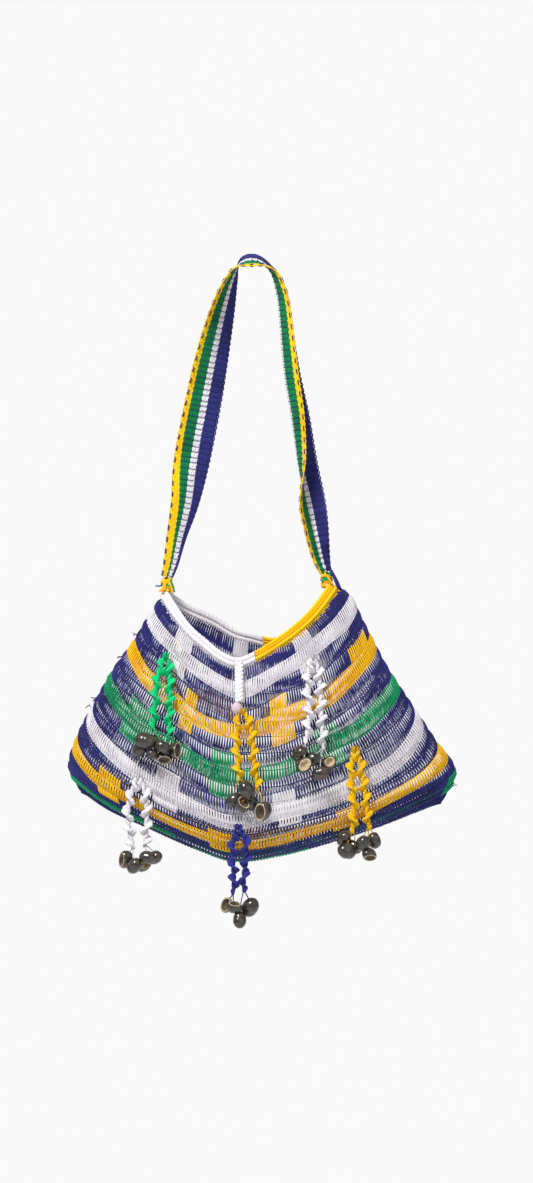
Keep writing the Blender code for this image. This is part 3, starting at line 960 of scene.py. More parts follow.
@dataclass
class Strap:
    """The striped band, looped lengthwise, with scalloped edges."""

    wardrobe: Wardrobe
    rise: float = 0.40
    strands: int = 22
    yarn_radius: float = 0.00076
    stitch: float = 0.0054
    core_thick: float = 0.0009
    yarn_swing: float = 0.42
    yarn_lift: float = 0.00030
    scallop: float = 0.035
    weft_ends: tuple[float, float] = (0.16, 0.97)
    weft_height: float = 0.0011
    weft_fullness: float = 0.42
    tack_height: float = 0.0010
    edge_fullness: float = 0.95
    # x, z, half width, headings of the navy and the yellow half.
    course: tuple = (
        (-0.0762, -0.2995, 0.0050, 10, 190), (-0.0722, -0.286, 0.0068, 12, 192),
        (-0.0668, -0.260, 0.0092, 12, 192), (-0.0590, -0.228, 0.0128, 10, 190),
        (-0.0532, -0.192, 0.0160, 8, 188), (-0.0413, -0.131, 0.0170, 20, 200),
        (-0.0320, -0.084, 0.0170, 34, 214), (-0.0225, -0.043, 0.0170, 52, 232),
        (-0.0150, -0.018, 0.0170, 68, 248), (-0.0075, -0.0030, 0.0165, 82, 262),
        (0.0030, 0.0016, 0.0160, 90, 270), (0.0140, -0.0010, 0.0155, 88, 280),
        (0.0230, -0.0110, 0.0160, 76, 292), (0.0272, -0.0260, 0.0165, 64, 302),
        (0.0300, -0.045, 0.0170, 56, 308), (0.0345, -0.100, 0.0175, 38, 316),
        (0.0392, -0.131, 0.0178, 30, 314), (0.0424, -0.150, 0.0180, 25, 310),
        (0.0485, -0.192, 0.0180, 17, 292), (0.0570, -0.228, 0.0165, 10, 246),
        (0.0625, -0.252, 0.0140, 8, 236), (0.0698, -0.281, 0.0085, 8, 214),
        (0.0745, -0.2945, 0.0052, 8, 198),
    )
    # Each stripe's hue and where it ends across the band.
    stripes: tuple = (
        (Hue.YELLOW, 0.14), (Hue.GREEN, 0.46), (Hue.WHITE, 0.64), (Hue.NAVY, 1.0),
    )
    # Where the stripes end in the gathered left end, and how far up the gathering reaches.
    gathered: tuple[float, ...] = (0.46, 0.56, 0.88, 1.0)
    gathered_length: float = 0.23
    # The strap's green, darker than the net's: partly its own tone and partly painted shade, as one leg hangs
    # in shade.
    green: Yarn = Yarn("strap_green", (0.002, 0.240, 0.072), (0.001, 0.105, 0.032))
    yellow: Yarn = Yarn("strap_yellow", (1.000, 0.690, 0.004), (0.950, 0.460, 0.003))

    def __post_init__(self) -> None:
        """Draws the course."""
        self.track = Track(self.course)

    def place(self, across: np.ndarray, along: np.ndarray, lift: np.ndarray | float) -> np.ndarray:
        """Places points on the band.

        Args:
            across: Shares across it, from its yellow to its navy edge.
            along: Shares of its length, from its left end.
            lift: How far they stand off its outer face.

        Returns:
            The places.
        """
        along = np.clip(along, 0.0, 1.0)
        drawn = smooth_step(1 - along / self.gathered_length)
        ends = [0.0] + [end for _, end in self.stripes]
        across = across + drawn * (np.interp(across, ends, (0.0, *self.gathered)) - across)
        x, z, half_width, navy, yellow = self.track.at(along).T
        ahead, behind = self.track.at(np.minimum(along + 0.01, 1)), self.track.at(
            np.maximum(along - 0.01, 0))
        step = ahead[:, :2] - behind[:, :2]
        tangent = unit(np.column_stack((step[:, 0], np.zeros(len(step)), step[:, 1])))
        side = across - 0.5
        angle = np.radians(np.where(side >= 0, navy, yellow))
        tip = self.rise * np.abs(tangent[:, 0]) * np.sin(angle)
        way = np.column_stack((np.cos(angle), np.sin(angle), tip))
        way = unit(way - tangent * np.sum(way * tangent, axis=1, keepdims=True))
        face = np.cross(tangent, way) * np.where(side >= 0, 1.0, -1.0)[:, None]
        lift = np.broadcast_to(lift, along.shape)[:, None]
        middle = np.column_stack((x, np.zeros(len(x)), z))
        return middle + way * (np.abs(side) * 2 * half_width)[:, None] + face * lift

    def hue_at(self, across: float) -> Hue:
        """Returns the stripe's hue at a share across the band."""
        return next(hue for hue, end in self.stripes if across <= end)

    def lengthwise(self) -> list[Strand]:
        """Runs the lengthwise yarns, which part and close once a stitch.

        Returns:
            One strand for each yarn.
        """
        along = np.linspace(0.0, 1.0, round(self.track.length / 0.0014))
        phase = along * self.track.length / self.stitch
        strands = []
        for index in range(self.strands):
            middle = (index + 0.5) / self.strands
            swing = self.yarn_swing / self.strands * np.cos(math.pi * phase * 2 + math.pi * index)
            lift = self.yarn_lift * np.sin(FULL_TURN * phase + index * 2.1)
            fullness = 0.92 + 0.22 * np.cos(FULL_TURN * phase)
            points = self.place(np.clip(middle + swing, 0.0, 1.0), along, lift)
            strands.append(Strand(points, self.hue_at(middle), fullness))
        return strands

    def crossings(self) -> list[Strand]:
        """Crosses the band with a fine navy weft once a stitch, on both faces.

        Returns:
            The wefts.
        """
        strands = []
        count = int(self.track.length / self.stitch)
        across = np.linspace(*self.weft_ends, 14)
        rng = np.random.default_rng(5)
        for step in range(count):
            along = (step + 0.5) / count + rng.normal(0.0, 0.0004)
            bow = rng.normal(0.0, 0.0006) * np.sin(np.linspace(0, math.pi, 14))
            for face in (self.weft_height, -self.weft_height):
                points = self.place(across, np.full(14, along) + bow, face)
                strands.append(Strand(points, Hue.NAVY, self.weft_fullness))
        return strands

    def edges(self) -> list[Strand]:
        """Scallops both edges and tacks the yellow one in navy.

        Returns:
            The edge yarns and the tacks.
        """
        along = np.linspace(0.0, 1.0, round(self.track.length / 0.0011))
        bulge = self.scallop * np.abs(np.sin(math.pi * along * self.track.length / self.stitch))
        strands = []
        for start, sign, hue in ((0.0, -1, Hue.YELLOW), (1.0, 1, Hue.NAVY)):
            points = self.place(start + sign * bulge, along, 0.0)
            strands.append(Strand(points, hue, self.edge_fullness))
        count = int(self.track.length / self.stitch)
        for step in range(0, count, 2):
            run = (step + np.linspace(0.10, 0.95, 5)) / count
            for face in (self.tack_height, -self.tack_height):
                points = self.place(np.full(5, 0.0), run, face)
                strands.append(Strand(points, Hue.NAVY, self.edge_fullness))
        return strands

    def build(self) -> None:
        """Makes the core, its yarns and its edges."""
        bm = wrapped_grid(16, 260, lambda across, down: self.place(across, down, 0.0))
        for face in bm.faces:
            across = sum(loop[bm.loops.layers.uv.active].uv.x for loop in face.loops) / 4
            face.material_index = self.hue_at(across).value
        finishes = self.wardrobe.yarns()
        finishes[Hue.GREEN.value] = self.wardrobe.get(self.green)
        finishes[Hue.YELLOW.value] = self.wardrobe.get(self.yellow)
        core = grid_piece("strap_core", bm, finishes)
        wall = core.modifiers.new("thickness", "SOLIDIFY")
        wall.thickness = self.core_thick
        wall.offset = 0.0
        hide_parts("strap")
        yarns = yarn_piece("strap_yarns", self.lengthwise(), self.yarn_radius,
                           finishes, roundness=1)
        trims = yarn_piece("strap_crossings", self.crossings() + self.edges(),
                           self.yarn_radius * 0.9, finishes)
        LOG.info("strap: %.3f m along its middle", self.track.length)


@dataclass
class StrapTie:
    """Yarn wraps that bind one end of the strap to the mouth."""

    wardrobe: Wardrobe
    node: str
    hues: tuple[Hue, ...]
    tails: tuple = ()
    yarn_radius: float = 0.0012
    overlap: float = 0.004

    def build(self) -> None:
        """Winds the wraps and hangs the loose ends."""
        low, high = (np.array(corner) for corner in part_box(self.node))
        low[2] -= self.overlap
        middle, half = (low + high) / 2, (high - low) / 2
        angle = np.linspace(0.0, FULL_TURN * 1.04, 26)
        strands = []
        for index, hue in enumerate(self.hues):
            share = (index + 0.5) / len(self.hues) * 2 - 1
            girth = math.sqrt(max(0.15, 1 - share * share * 0.75)) * 0.82
            tilt = 0.9 * math.sin(index * 2.3)
            ring = np.column_stack((
                np.cos(angle) * half[0] * girth,
                np.sin(angle) * half[1] * girth,
                share * half[2] * 0.85 + tilt * np.cos(angle + index) * half[2] * 0.45
                + angle / FULL_TURN * 0.001,
            ))
            strands.append(Strand(middle + ring, hue))
        for start, end, hue, girth in self.tails:
            run = Track((start, (np.array(start) + end) / 2 + (0.001, -0.001, -0.001), end), plane=3)
            strands.append(Strand(run.at(np.linspace(0, 1, 12)), hue, girth))
        piece = yarn_piece(self.node + "_wraps", strands, self.yarn_radius,
                           self.wardrobe.yarns(), roundness=2)
        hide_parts(self.node)


# --- Tab ----------------------------------------------------------------------------------------


@dataclass
class CentreTab:
    """The flat three-strand braid over the mouth's front, with its soft knob."""

    wardrobe: Wardrobe
    front: FrontFace
    top: tuple[float, float] = (-0.0074, -0.3790)
    bottom: tuple[float, float] = (-0.0072, -0.4165)
    strand_radius: float = 0.0019
    swing: float = 0.0025
    pitch: float = 0.0115
    proud: float = 0.0042
    knob_turns: float = 9.0
    knob_yarn_radius: float = 0.00105

    def build(self) -> None:
        """Braids the tab and winds the knob."""
        share = np.linspace(0.0, 1.0, 60)
        x = self.top[0] + (self.bottom[0] - self.top[0]) * share
        z = self.top[1] + (self.bottom[1] - self.top[1]) * share
        y = np.array([self.front.y(self.top[0], height) for height in z]) - self.proud
        strands = []
        for strand in range(3):
            phase = FULL_TURN * ((self.top[1] - z) / self.pitch + strand / 3)
            points = np.column_stack((
                x + self.swing * np.sin(phase), y + 0.0008 * np.sin(2 * phase), z))
            strands.append(Strand(points, Hue.WHITE))
        braid_yarn = self.wardrobe.get(Yarn("braid_yarn", *BRIGHT_WHITE, relief=0.5))
        tab = yarn_piece("centre_tab_braid", strands, self.strand_radius,
                         [braid_yarn], roundness=2)
        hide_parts("centre_tab")
        low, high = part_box("centre_knob")
        middle = (np.array(low) + high) / 2
        half = (np.array(high) - low) / 2
        turn = np.linspace(0.0, 1.0, 260)
        lift = np.arccos(1 - 2 * turn)
        spin = FULL_TURN * self.knob_turns * turn
        ball = np.column_stack((
            np.sin(lift) * np.cos(spin), np.sin(lift) * np.sin(spin), np.cos(lift)))
        wound = middle + ball * half * 0.80
        knob_yarn = self.wardrobe.get(Yarn("knob_yarn", *KNOB_PINK))
        knob = yarn_piece("centre_knob_wound", [Strand(wound, Hue.WHITE)], self.knob_yarn_radius,
                          [knob_yarn], roundness=2)
        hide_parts("centre_knob")
        LOG.info("centre tab and knob")


# --- Tassels ------------------------------------------------------------------------------------


@dataclass
class SeedShells:
    """Half nut shells: a smooth bowl with a cut mouth, a pale rim and a hollow darkened with painted shade.
    """

    wardrobe: Wardrobe
    outside: NutShell = NutShell("shell_outside", (0.020, 0.016, 0.012), (0.088, 0.070, 0.052),
                                 0.16, 1.0)
    cut: NutShell = NutShell("shell_cut", (0.42, 0.31, 0.17), (0.80, 0.68, 0.42), 0.55, 0.0)
    # The hollow's dark brown is painted shade inside the shell.
    hollow: NutShell = NutShell("shell_hollow_painted_shade", (0.050, 0.034, 0.022), (0.16, 0.11, 0.07), 0.6, 0.0)
    flatten: tuple[float, float, float] = (1.0, 0.74, 0.84)
    growth: float = 1.34
    taper: float = 0.05
    groove_depth: float = 0.10
    groove_width: float = 0.16
    shallow_cut: float = 0.7
    # Rings from the rim inwards: size as a share of the rim, and how far in from the cut.
    lip: tuple = ((0.985, 0.02), (0.82, 0.00))
    inside: tuple = ((0.66, -0.26), (0.34, -0.40))

    def bowl(self, cut_at: float) -> bmesh.types.BMesh:
        """Shapes a nut of radius 1, grooved below, and cuts its top off.

        Args:
            cut_at: How far out the cut is, as a share of its radius.

        Returns:
            The bmesh, open at the cut.
        """
        bm = bmesh.new()
        bmesh.ops.create_icosphere(bm, subdivisions=4, radius=1.0)
        for vert in bm.verts:
            groove = math.exp(-((vert.co.x / self.groove_width) ** 2)) * max(0.0, -vert.co.z)
            vert.co *= 1 + self.taper * vert.co.z - self.groove_depth * groove
        everything = bm.verts[:] + bm.edges[:] + bm.faces[:]
        bmesh.ops.bisect_plane(bm, geom=everything, plane_co=(0, 0, cut_at), plane_no=(0, 0, 1),
                               clear_outer=True)
        return bm

    def hollow_out(self, bm: bmesh.types.BMesh, cut_at: float) -> None:
        """Closes the cut with a pale rim around a hollow in painted shade, or a pale one near the top.

        Args:
            bm: The open bowl.
            cut_at: How far out its cut is.
        """
        centre = Vector((0, 0, cut_at))
        rim = [edge for edge in bm.edges if edge.is_boundary]
        # Deep cuts paint the hollow in shade; shallow ones stay pale.
        pale, deep = 1, 1 if cut_at > self.shallow_cut else 2
        rings = [(*ring, pale) for ring in self.lip] + [(*ring, deep) for ring in self.inside]
        for shrink, drop, material in rings:
            made = bmesh.ops.extrude_edge_only(bm, edges=rim)["geom"]
            verts = [item for item in made if isinstance(item, bmesh.types.BMVert)]
            for face in {item for item in made if isinstance(item, bmesh.types.BMFace)}:
                face.material_index = material
            size = max((vert.co - centre).xy.length for vert in verts)
            target = shrink * math.sqrt(max(0.05, 1 - cut_at * cut_at))
            bmesh.ops.scale(bm, vec=(target / size, target / size, 1), verts=verts)
            for vert in verts:
                vert.co.z = cut_at + drop
            rim = [item for item in made if isinstance(item, bmesh.types.BMEdge) and item.is_boundary]
        for face in bmesh.ops.contextual_create(bm, geom=rim)["faces"]:
            face.material_index = deep

    def seat(self, bm: bmesh.types.BMesh, node: str, facing: tuple[float, float, float],
             roll: float) -> None:
        """Turns a shell and sets it where its solid is.

        Args:
            bm: The shell, of radius 1.
            node: The solid it stands for.
            facing: The way its cut mouth looks.
            roll: How far its long way is turned about the mouth's middle, in radians.
        """
        low, high = (np.array(corner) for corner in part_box(node))
        middle, half = (low + high) / 2, (high - low) / 2
        turn = Vector((0, 0, 1)).rotation_difference(Vector(facing)).to_matrix()
        turn = turn @ Matrix.Rotation(roll, 3, "Z")
        bmesh.ops.scale(bm, vec=self.flatten, verts=bm.verts)
        bmesh.ops.rotate(bm, matrix=turn, verts=bm.verts)
        corners = np.array([vert.co for vert in bm.verts])
        least, most = corners.min(axis=0), corners.max(axis=0)
        bmesh.ops.translate(bm, vec=tuple(-(least + most) / 2), verts=bm.verts)
        size = self.growth * 2 * half.max() / (most - least).max()
        bmesh.ops.scale(bm, vec=(size, size, size), verts=bm.verts)
        bmesh.ops.translate(bm, vec=tuple(middle), verts=bm.verts)

    def build(self, node: str, facing: tuple[float, float, float], cut_at: float,
              roll: float) -> bpy.types.Object:
        """Makes one shell in its solid's place.

        Args:
            node: The solid it stands for.
            facing: The way its cut mouth looks.
            cut_at: How far out the cut is, as a share of its radius.
            roll: How far its long way is turned about the mouth's middle, in radians.

        Returns:
            The piece.
        """
        bm = self.bowl(cut_at)
        self.hollow_out(bm, cut_at)
        self.seat(bm, node, facing, roll)
        finishes = [self.wardrobe.get(finish) for finish in (self.outside, self.cut, self.hollow)]
        shell = grid_piece(node + "_shell", bm, finishes)
        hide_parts(node)
        return shell


@dataclass
class Tassel:
    """Two curling ribbon cords from one link, with seed shells tied to their ends."""

    wardrobe: Wardrobe
    front: FrontFace
    number: int
    name: str
    finish: Yarn
    slot: str
    left: tuple
    right: tuple
    shells: tuple  # for each shell the way its mouth faces and how deep it is cut
    split: int  # the first so many shells hang from the left cord
    pitch: float = 0.0150
    inner: float = -0.0024
    outer: float = 0.0057
    cord_width: float = 0.009
    thickness: float = 0.0027
    clear: float = 0.0048
    gather: float = 0.62
    scallop: float = 0.13
    scallop_pitch: float = 0.0029
    cup: float = 0.0011
    tip: float = 0.35
    link_turns: float = 4.3
    link_yarn_radius: float = 0.0011
    thread_radius: float = 0.00055

    def route(self, places: Sequence[Sequence[float]]) -> Track:
        """Hangs the cord's middle line clear of the cloth.

        Args:
            places: The x, z places of its route.

        Returns:
            The line through the cord's middle.
        """
        middle = (self.left[0][0] + self.right[0][0]) / 2
        (x, z), rest = places[0], places[1:]
        flat = Track(((x + (middle - x) * self.gather, z + 0.003), *rest))
        count = max(4, round(flat.length / 0.015)) + 1
        points = []
        for share in np.linspace(0.0, 1.0, count):
            x, z = flat.at(share)
            points.append((x, self.front.hanging_y(x, places[0][1], z) - self.clear, z))
        return Track(points, plane=3)

    def ribbon(self, side: str, places: Sequence, phase: float, hand: int) -> tuple:
        """Curls one ribbon around its route.

        Args:
            side: left or right.
            places: The x, z places of its route.
            phase: Where its curl starts, in turns.
            hand: 1 or -1, the way it curls.

        Returns:
            The piece and its route.
        """
        track = self.route(places)
        stations = round(track.length / 0.0008)

        def place(across: np.ndarray, down: np.ndarray) -> np.ndarray:
            """Returns places on the curled ribbon."""
            middle = track.at(down)
            tangent = unit(track.at(np.minimum(down + 0.02, 1)) - track.at(np.maximum(down - 0.02, 0)))
            side_way = unit(np.cross(tangent, (0.0, 1.0, 0.0)))
            out_way = np.cross(side_way, tangent)
            walked = down * track.length
            angle = hand * FULL_TURN * (walked / self.pitch + phase
                                        + 0.06 * np.sin(walked * 190 + phase * 9))
            scallop = 1 + self.scallop * np.sin(walked / self.scallop_pitch * FULL_TURN) * across
            taper = self.tip + (1 - self.tip) * smooth_step(np.minimum(down, 1 - down) * 9)
            radius = (self.inner + (self.outer - self.inner) * across) * scallop * taper
            way = side_way * np.cos(angle)[:, None] + out_way * np.sin(angle)[:, None]
            cup = self.cup * np.sin(across * math.pi) * taper
            return middle + way * radius[:, None] + tangent * cup[:, None]

        bm = wrapped_grid(5, stations, place)
        node = f"tassel_{self.number}_{side}"
        piece = grid_piece(node + "_ribbon", bm, [self.wardrobe.get(self.finish)])
        wall = piece.modifiers.new("thickness", "SOLIDIFY")
        wall.thickness = self.thickness
        wall.offset = 0.0
        soft = piece.modifiers.new("soft", "SUBSURF")
        soft.levels = 1
        soft.render_levels = 1
        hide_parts(node)
        return piece, track

    def link(self, tracks: Sequence[Track]) -> bpy.types.Object:
        """Winds the knot that joins the tops of both ribbons.

        Args:
            tracks: The middle lines of both.

        Returns:
            The piece.
        """
        a, b = tracks[0].at(0.0), tracks[1].at(0.0)
        middle = (a + b) / 2 + (0.0, 0.0, 0.0006)
        share = np.linspace(0.0, 1.0, 90)
        turn = FULL_TURN * self.link_turns * share
        reach = np.linalg.norm(b - a) / 2 + 0.0016
        swell = 0.55 + 0.45 * np.sin(math.pi * share)
        wound = np.column_stack((
            reach * (2 * share - 1) * 0.8 + 0.0009 * np.sin(turn * 0.7),
            0.0022 * swell * np.cos(turn), 0.0026 * swell * np.sin(turn)))
        return yarn_piece(f"tassel_{self.number}_link", [Strand(middle + wound, Hue.WHITE)],
                          self.link_yarn_radius, [self.wardrobe.get(self.finish)],
                          roundness=1)

    def threads(self, tracks: Sequence[Track], shells: Sequence[bpy.types.Object]) -> bpy.types.Object:
        """Ties each shell to the end of its cord with a fine thread.

        Args:
            tracks: The middle lines of both cords.
            shells: The shells, those of the left cord first.

        Returns:
            The threads as one piece.
        """
        strands = []
        for index, shell in enumerate(shells):
            start = tracks[0 if index < self.split else 1].at(0.97)
            low, high = (np.array(corner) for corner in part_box(f"seed_{self.number}_{index + 1}"))
            end = (low + high) / 2
            end[2] += (high[2] - low[2]) * 0.30
            bow = (start + end) / 2 + (0.0008 * (-1) ** index, -0.001, 0.0)
            run = Track((start, bow, end), plane=3)
            strands.append(Strand(run.at(np.linspace(0, 1, 10)), Hue.WHITE))
        return yarn_piece(f"tassel_{self.number}_threads", strands, self.thread_radius,
                          [self.wardrobe.get(self.finish)], roundness=1)

    def build(self, maker: SeedShells) -> None:
        """Args:
            maker: Makes the shells.
        """
        shells = [maker.build(f"seed_{self.number}_{index}", facing, cut, 2.1 * index + self.number)
                  for index, (facing, cut) in enumerate(self.shells, start=1)]
        left, left_track = self.ribbon("left", self.left, 0.10 * self.number, 1)
        right, right_track = self.ribbon("right", self.right, 0.55 - 0.1 * self.number, -1)
        link = self.link((left_track, right_track))
        threads = self.threads((left_track, right_track), shells)
        hung = (shells[: self.split] + [threads], shells[self.split :] + [link])
        for piece, track, pieces in ((left, left_track, hung[0]), (right, right_track, hung[1])):
            path = track.at(np.linspace(0.0, 1.0, 24))
        LOG.info("tassel %d: %s, %d shells", self.number, self.name, len(shells))


def ribbon_yarn(name: str, colours: tuple) -> StitchedYarn:
    """Returns the finish of a crocheted ribbon."""
    return StitchedYarn(name, *colours, stitches_along=90.0, stitches_across=3.0, stitch_depth=0.7)


def tassels(wardrobe: Wardrobe, front: FrontFace) -> list[Tassel]:
    """Lists the six tassels.

    Args:
        wardrobe: The finishes.
        front: The front panel that they hang before.

    Returns:
        The tassels from the upper left to the right.
    """
    green = ribbon_yarn("green_ribbon", BRIGHT_GREEN)
    yellow = ribbon_yarn("yellow_ribbon", BRIGHT_YELLOW)
    white = ribbon_yarn("white_ribbon", BRIGHT_WHITE)
    navy = ribbon_yarn("navy_ribbon", BRIGHT_NAVY)
    away, ahead = (0.3, 0.8, 0.5), (0.1, -1.0, 0.1)
    full = {"outer": 0.0061, "thickness": 0.0031, "cord_width": 0.010}
    return [
        Tassel(wardrobe, front, 1, "green", green, "tassel_green",
               ((-0.0812, -0.377), (-0.0850, -0.395), (-0.0868, -0.415), (-0.0885, -0.442)),
               ((-0.0722, -0.377), (-0.0728, -0.397), (-0.0728, -0.420), (-0.0735, -0.449)),
               ((away, 0.7), (away, 0.6), ((-0.4, 0.6, 0.7), 0.6), ((0.3, 0.4, 0.9), 0.6),
                ((0.9, -0.5, 0.1), 0.35), ((-0.6, 0.4, -0.6), 0.6), ((0.2, -0.7, -0.7), 0.45)), 4),
        Tassel(wardrobe, front, 2, "yellow", yellow, "tassel_yellow",
               ((-0.0125, -0.431), (-0.0098, -0.450), (-0.0092, -0.468), (-0.0070, -0.490)),
               ((0.0012, -0.426), (0.0045, -0.445), (0.0060, -0.465), (0.0105, -0.499)),
               ((away, 0.7), ((-0.5, 0.5, 0.7), 0.6), ((0.4, -0.6, 0.7), 0.5), (away, 0.6),
                ((-0.75, -0.62, -0.2), 0.45)), 2),
        Tassel(wardrobe, front, 3, "white", white, "tassel_white",
               ((0.0585, -0.378), (0.0570, -0.398), (0.0590, -0.420), (0.0560, -0.455)),
               ((0.0680, -0.378), (0.0690, -0.398), (0.0700, -0.425), (0.0720, -0.461)),
               ((away, 0.7), (ahead, 0.72), ((0.4, 0.4, 0.8), 0.6), ((0.3, 0.5, -0.8), 0.6),
                ((0.3, -0.9, 0.3), 0.80)), 2, **full),
        Tassel(wardrobe, front, 4, "white", white, "tassel_white",
               ((-0.1065, -0.491), (-0.1110, -0.510), (-0.1120, -0.530), (-0.1070, -0.555)),
               ((-0.0970, -0.491), (-0.0950, -0.508), (-0.0945, -0.527), (-0.0955, -0.553)),
               (((-0.9, -0.4, 0.0), 0.55), (away, 0.6), ((0.2, -0.95, 0.2), 0.75), (away, 0.6),
                ((0.5, 0.6, 0.6), 0.6)), 2, **full),
        Tassel(wardrobe, front, 5, "navy", navy, "tassel_navy",
               ((-0.0130, -0.539), (-0.0140, -0.556), (-0.0122, -0.574), (-0.0125, -0.597)),
               ((-0.0035, -0.536), (0.0000, -0.555), (-0.0025, -0.574), (-0.0030, -0.595)),
               (((-0.5, -0.8, 0.3), 0.30), ((0.1, -0.5, 0.85), 0.70), (away, 0.7),
                ((0.4, 0.7, -0.5), 0.6)), 2),
        Tassel(wardrobe, front, 6, "yellow", yellow, "tassel_yellow",
               ((0.0970, -0.467), (0.0980, -0.487), (0.1005, -0.510), (0.1000, -0.540)),
               ((0.1065, -0.463), (0.1090, -0.485), (0.1125, -0.512), (0.1150, -0.537)),
               ((away, 0.6), ((-0.3, 0.5, 0.8), 0.6), ((0.5, 0.3, 0.8), 0.6), (away, 0.6),
                ((0.8, 0.4, 0.4), 0.6), ((0.2, -0.5, -0.85), 0.55)), 3),
    ]


# --- Loose ends ---------------------------------------------------------------------------------


@dataclass(frozen=True)
class Tuft:
    """A few ends of yarn that stick out of one place of the net."""

    around: float
    row: float
    across: float
    down: float
    hues: tuple[Hue, ...]


@dataclass
class LooseEnds:
    """Short ends of yarn left on the net where a hue starts or stops."""

    form: PouchForm
    wardrobe: Wardrobe
    yarn_radius: float = 0.00062
    tufts: tuple[Tuft, ...] = (
        Tuft(0.030, 1.7, -0.002, 0.003, (Hue.NAVY, Hue.WHITE)),
        Tuft(0.014, 3.4, -0.003, 0.001, (Hue.NAVY, Hue.NAVY)),
        Tuft(0.008, 5.6, -0.003, 0.000, (Hue.NAVY, Hue.YELLOW, Hue.NAVY)),
        Tuft(0.005, 7.4, -0.003, 0.001, (Hue.GREEN, Hue.NAVY)),
        Tuft(0.003, 9.6, -0.004, -0.001, (Hue.NAVY, Hue.NAVY, Hue.NAVY)),
        Tuft(0.003, 10.3, -0.004, 0.001, (Hue.NAVY, Hue.WHITE, Hue.NAVY)),
        Tuft(0.060, 3.9, 0.001, 0.006, (Hue.YELLOW, Hue.YELLOW, Hue.YELLOW)),
        Tuft(0.085, 4.1, 0.001, 0.005, (Hue.YELLOW, Hue.YELLOW)),
        Tuft(0.150, 5.3, 0.002, 0.010, (Hue.YELLOW, Hue.YELLOW)),
        Tuft(0.165, 3.2, 0.002, 0.007, (Hue.YELLOW,)),
        Tuft(0.200, 2.1, 0.002, 0.003, (Hue.YELLOW,)),
        Tuft(0.130, 1.1, 0.002, 0.004, (Hue.YELLOW,)),
        Tuft(0.300, 7.3, 0.002, -0.003, (Hue.GREEN,)),
        Tuft(0.440, 13.0, 0.001, 0.006, (Hue.YELLOW, Hue.YELLOW)),
        Tuft(0.492, 16.2, 0.002, 0.001, (Hue.GREEN, Hue.NAVY)),
    )

    def build(self) -> None:
        """Lays the ends of every tuft."""
        rng = np.random.default_rng(23)
        strands = []
        for tuft in self.tufts:
            start = self.form.place(np.array([tuft.around]), np.array([tuft.row]), -0.0004)[0]
            for hue in tuft.hues:
                reach = np.array((tuft.across, -0.0010, -tuft.down)) + rng.normal(0, 0.0013, 3)
                root = start + rng.normal(0, 0.0009, 3)
                bow = root + reach * 0.5 + rng.normal(0, 0.0009, 3)
                run = Track((root, bow, root + reach), plane=3)
                girth = np.linspace(1.0, 0.5, 9)
                strands.append(Strand(run.at(np.linspace(0, 1, 9)), hue, girth))
        yarn_piece("net_loose_ends", strands, self.yarn_radius, self.wardrobe.yarns())


# --- Studio -------------------------------------------------------------------------------------


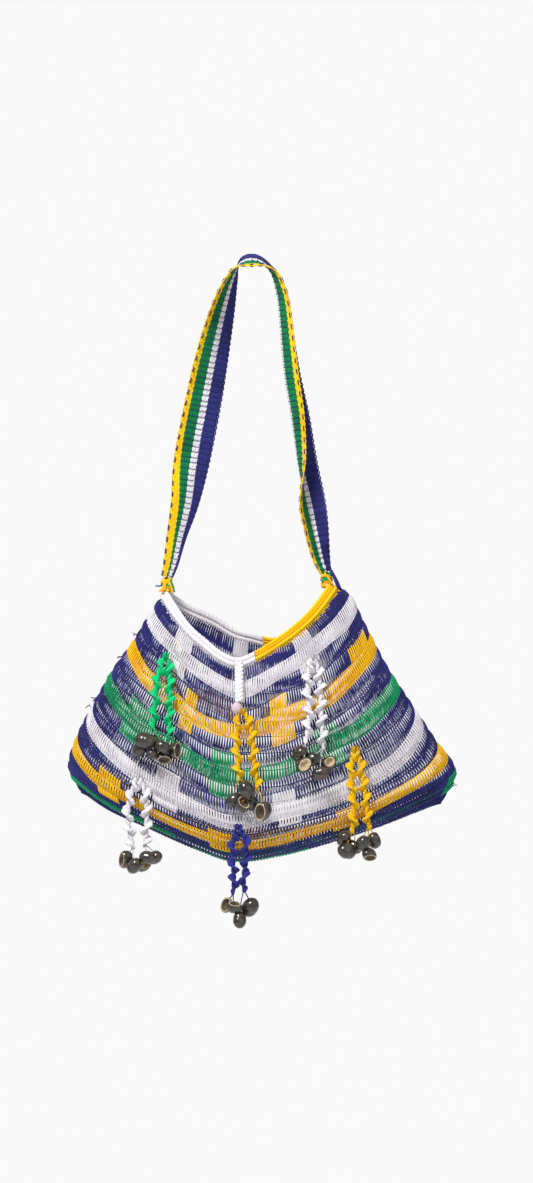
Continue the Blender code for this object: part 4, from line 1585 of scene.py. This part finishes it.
@dataclass
class Studio:
    """A pale floor under a white sky, soft lamps and the camera."""

    middle: tuple[float, float] = (0.0185, -0.313)
    view_height: float = 1.124
    distance: float = 5.0
    look_down: float = 1.0
    floor_z: float = -1.25
    floor_radius: float = 2.6
    sky_light: float = 0.34
    sky_look: float = 0.95
    # name, watts, size, place, aim
    lamps: tuple = (
        ("key", 58.0, 0.6, (-0.9, -1.5, 1.5), (0.0, 0.0, -0.40)),
        ("fill", 7.0, 2.4, (1.8, -1.6, 0.1), (0.0, 0.0, -0.35)),
        ("back", 9.0, 1.6, (0.6, 1.8, 1.2), (0.0, 0.0, -0.35)),
    )

    def camera(self) -> None:
        """Sets the camera level with the bag's middle, looking slightly down."""
        data = bpy.data.cameras.new("camera")
        data.sensor_fit = "VERTICAL"
        data.sensor_height = 36.0
        data.lens = data.sensor_height * self.distance / self.view_height
        camera = bpy.data.objects.new("camera", data)
        tilt = math.radians(self.look_down)
        x, z = self.middle
        camera.location = (x, -self.distance * math.cos(tilt), z + self.distance * math.sin(tilt))
        camera.rotation_euler = (math.pi / 2 - tilt, 0.0, 0.0)
        bpy.context.scene.collection.objects.link(camera)
        bpy.context.scene.camera = camera

    def floor(self) -> None:
        """Lays the floor."""
        bm = bmesh.new()
        bmesh.ops.create_circle(bm, cap_ends=True, segments=96, radius=self.floor_radius,
                                matrix=Matrix.Translation((0.0, 0.0, self.floor_z)))
        mesh = bpy.data.meshes.new("floor")
        bm.to_mesh(mesh)
        bm.free()
        floor = bpy.data.objects.new("floor", mesh)
        paint = bpy.data.materials.new("floor_paint")
        paint.use_nodes = True
        shader = paint.node_tree.nodes["Principled BSDF"]
        shader.inputs["Base Color"].default_value = (0.93, 0.93, 0.93, 1.0)
        shader.inputs["Roughness"].default_value = 0.9
        mesh.materials.append(paint)
        bpy.context.scene.collection.objects.link(floor)

    def lights(self) -> None:
        """Hangs the lamps."""
        for name, energy, size, place, aim in self.lamps:
            data = bpy.data.lights.new(name, "AREA")
            data.energy = energy
            data.size = size
            lamp = bpy.data.objects.new(name, data)
            lamp.location = place
            way = Vector(aim) - Vector(place)
            lamp.rotation_euler = way.to_track_quat("-Z", "Y").to_euler()
            bpy.context.scene.collection.objects.link(lamp)

    def sky(self) -> None:
        """Makes the sky: white to look at, and dimmer as a light."""
        world = bpy.data.worlds.new("sky")
        world.use_nodes = True
        tree = world.node_tree
        light = tree.nodes["Background"]
        light.inputs["Color"].default_value = (1.0, 1.0, 1.0, 1.0)
        light.inputs["Strength"].default_value = self.sky_light
        look = add_node(tree, "Background", Color=(self.sky_look, self.sky_look, self.sky_look, 1.0))
        path = add_node(tree, "LightPath")
        mix = add_node(tree, "MixShader")
        wire(
            tree,
            (path, "Is Camera Ray", mix, 0), (light, "Background", mix, 1),
            (look, "Background", mix, 2), (mix, "Shader", tree.nodes["World Output"], "Surface"),
        )
        bpy.context.scene.world = world
        bpy.context.scene.view_settings.view_transform = "Standard"

    def build(self) -> None:
        """Sets the whole studio."""
        self.camera()
        self.floor()
        self.lights()
        self.sky()


# --- Bag ----------------------------------------------------------------------------------------


def main() -> None:
    """Builds the studio and the bag, piece by piece."""
    logging.basicConfig(level=logging.INFO, format="%(name)s: %(message)s")
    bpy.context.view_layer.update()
    Studio().build()
    wardrobe = Wardrobe()
    front = FrontFace(FORM)
    shells = SeedShells(wardrobe)
    for tassel in tassels(wardrobe, front):
        tassel.build(shells)
    net = Net(FORM, wardrobe)
    net.build()
    MouthBinding(FORM, wardrobe, net).build()
    Strap(wardrobe).build()
    left_hues = (Hue.YELLOW,) * 4 + (Hue.GREEN,) + (Hue.YELLOW,) * 4
    left_tails = (
        ((-0.0800, -0.0030, -0.3060), (-0.0870, -0.0050, -0.3075), Hue.NAVY, 0.55),
        ((-0.0785, -0.0050, -0.3030), (-0.0832, -0.0050, -0.3130), Hue.YELLOW, 0.80),
        ((-0.0772, -0.0056, -0.3040), (-0.0808, -0.0062, -0.3128), Hue.YELLOW, 0.75),
        ((-0.0745, -0.0056, -0.3020), (-0.0706, -0.0058, -0.3150), Hue.YELLOW, 0.75),
        ((-0.0728, -0.0050, -0.3010), (-0.0690, -0.0050, -0.3135), Hue.GREEN, 0.70),
    )
    right_hues = (Hue.YELLOW,) * 4 + (Hue.GREEN, Hue.YELLOW, Hue.GREEN, Hue.YELLOW, Hue.GREEN)
    right_tails = (
        ((0.0788, -0.0035, -0.2920), (0.0868, -0.0035, -0.3115), Hue.NAVY, 1.00),
        ((0.0798, -0.0015, -0.2925), (0.0890, -0.0025, -0.3110), Hue.NAVY, 1.00),
        ((0.0790, 0.0005, -0.2920), (0.0885, -0.0010, -0.3100), Hue.NAVY, 1.00),
        ((0.0735, -0.0050, -0.2950), (0.0812, -0.0050, -0.3060), Hue.YELLOW, 0.80),
    )
    StrapTie(wardrobe, "strap_tie_left", left_hues, left_tails).build()
    StrapTie(wardrobe, "strap_tie_right", right_hues, right_tails).build()
    CentreTab(wardrobe, front).build()
    LooseEnds(FORM, wardrobe).build()


if __name__ == "__main__":
    main()
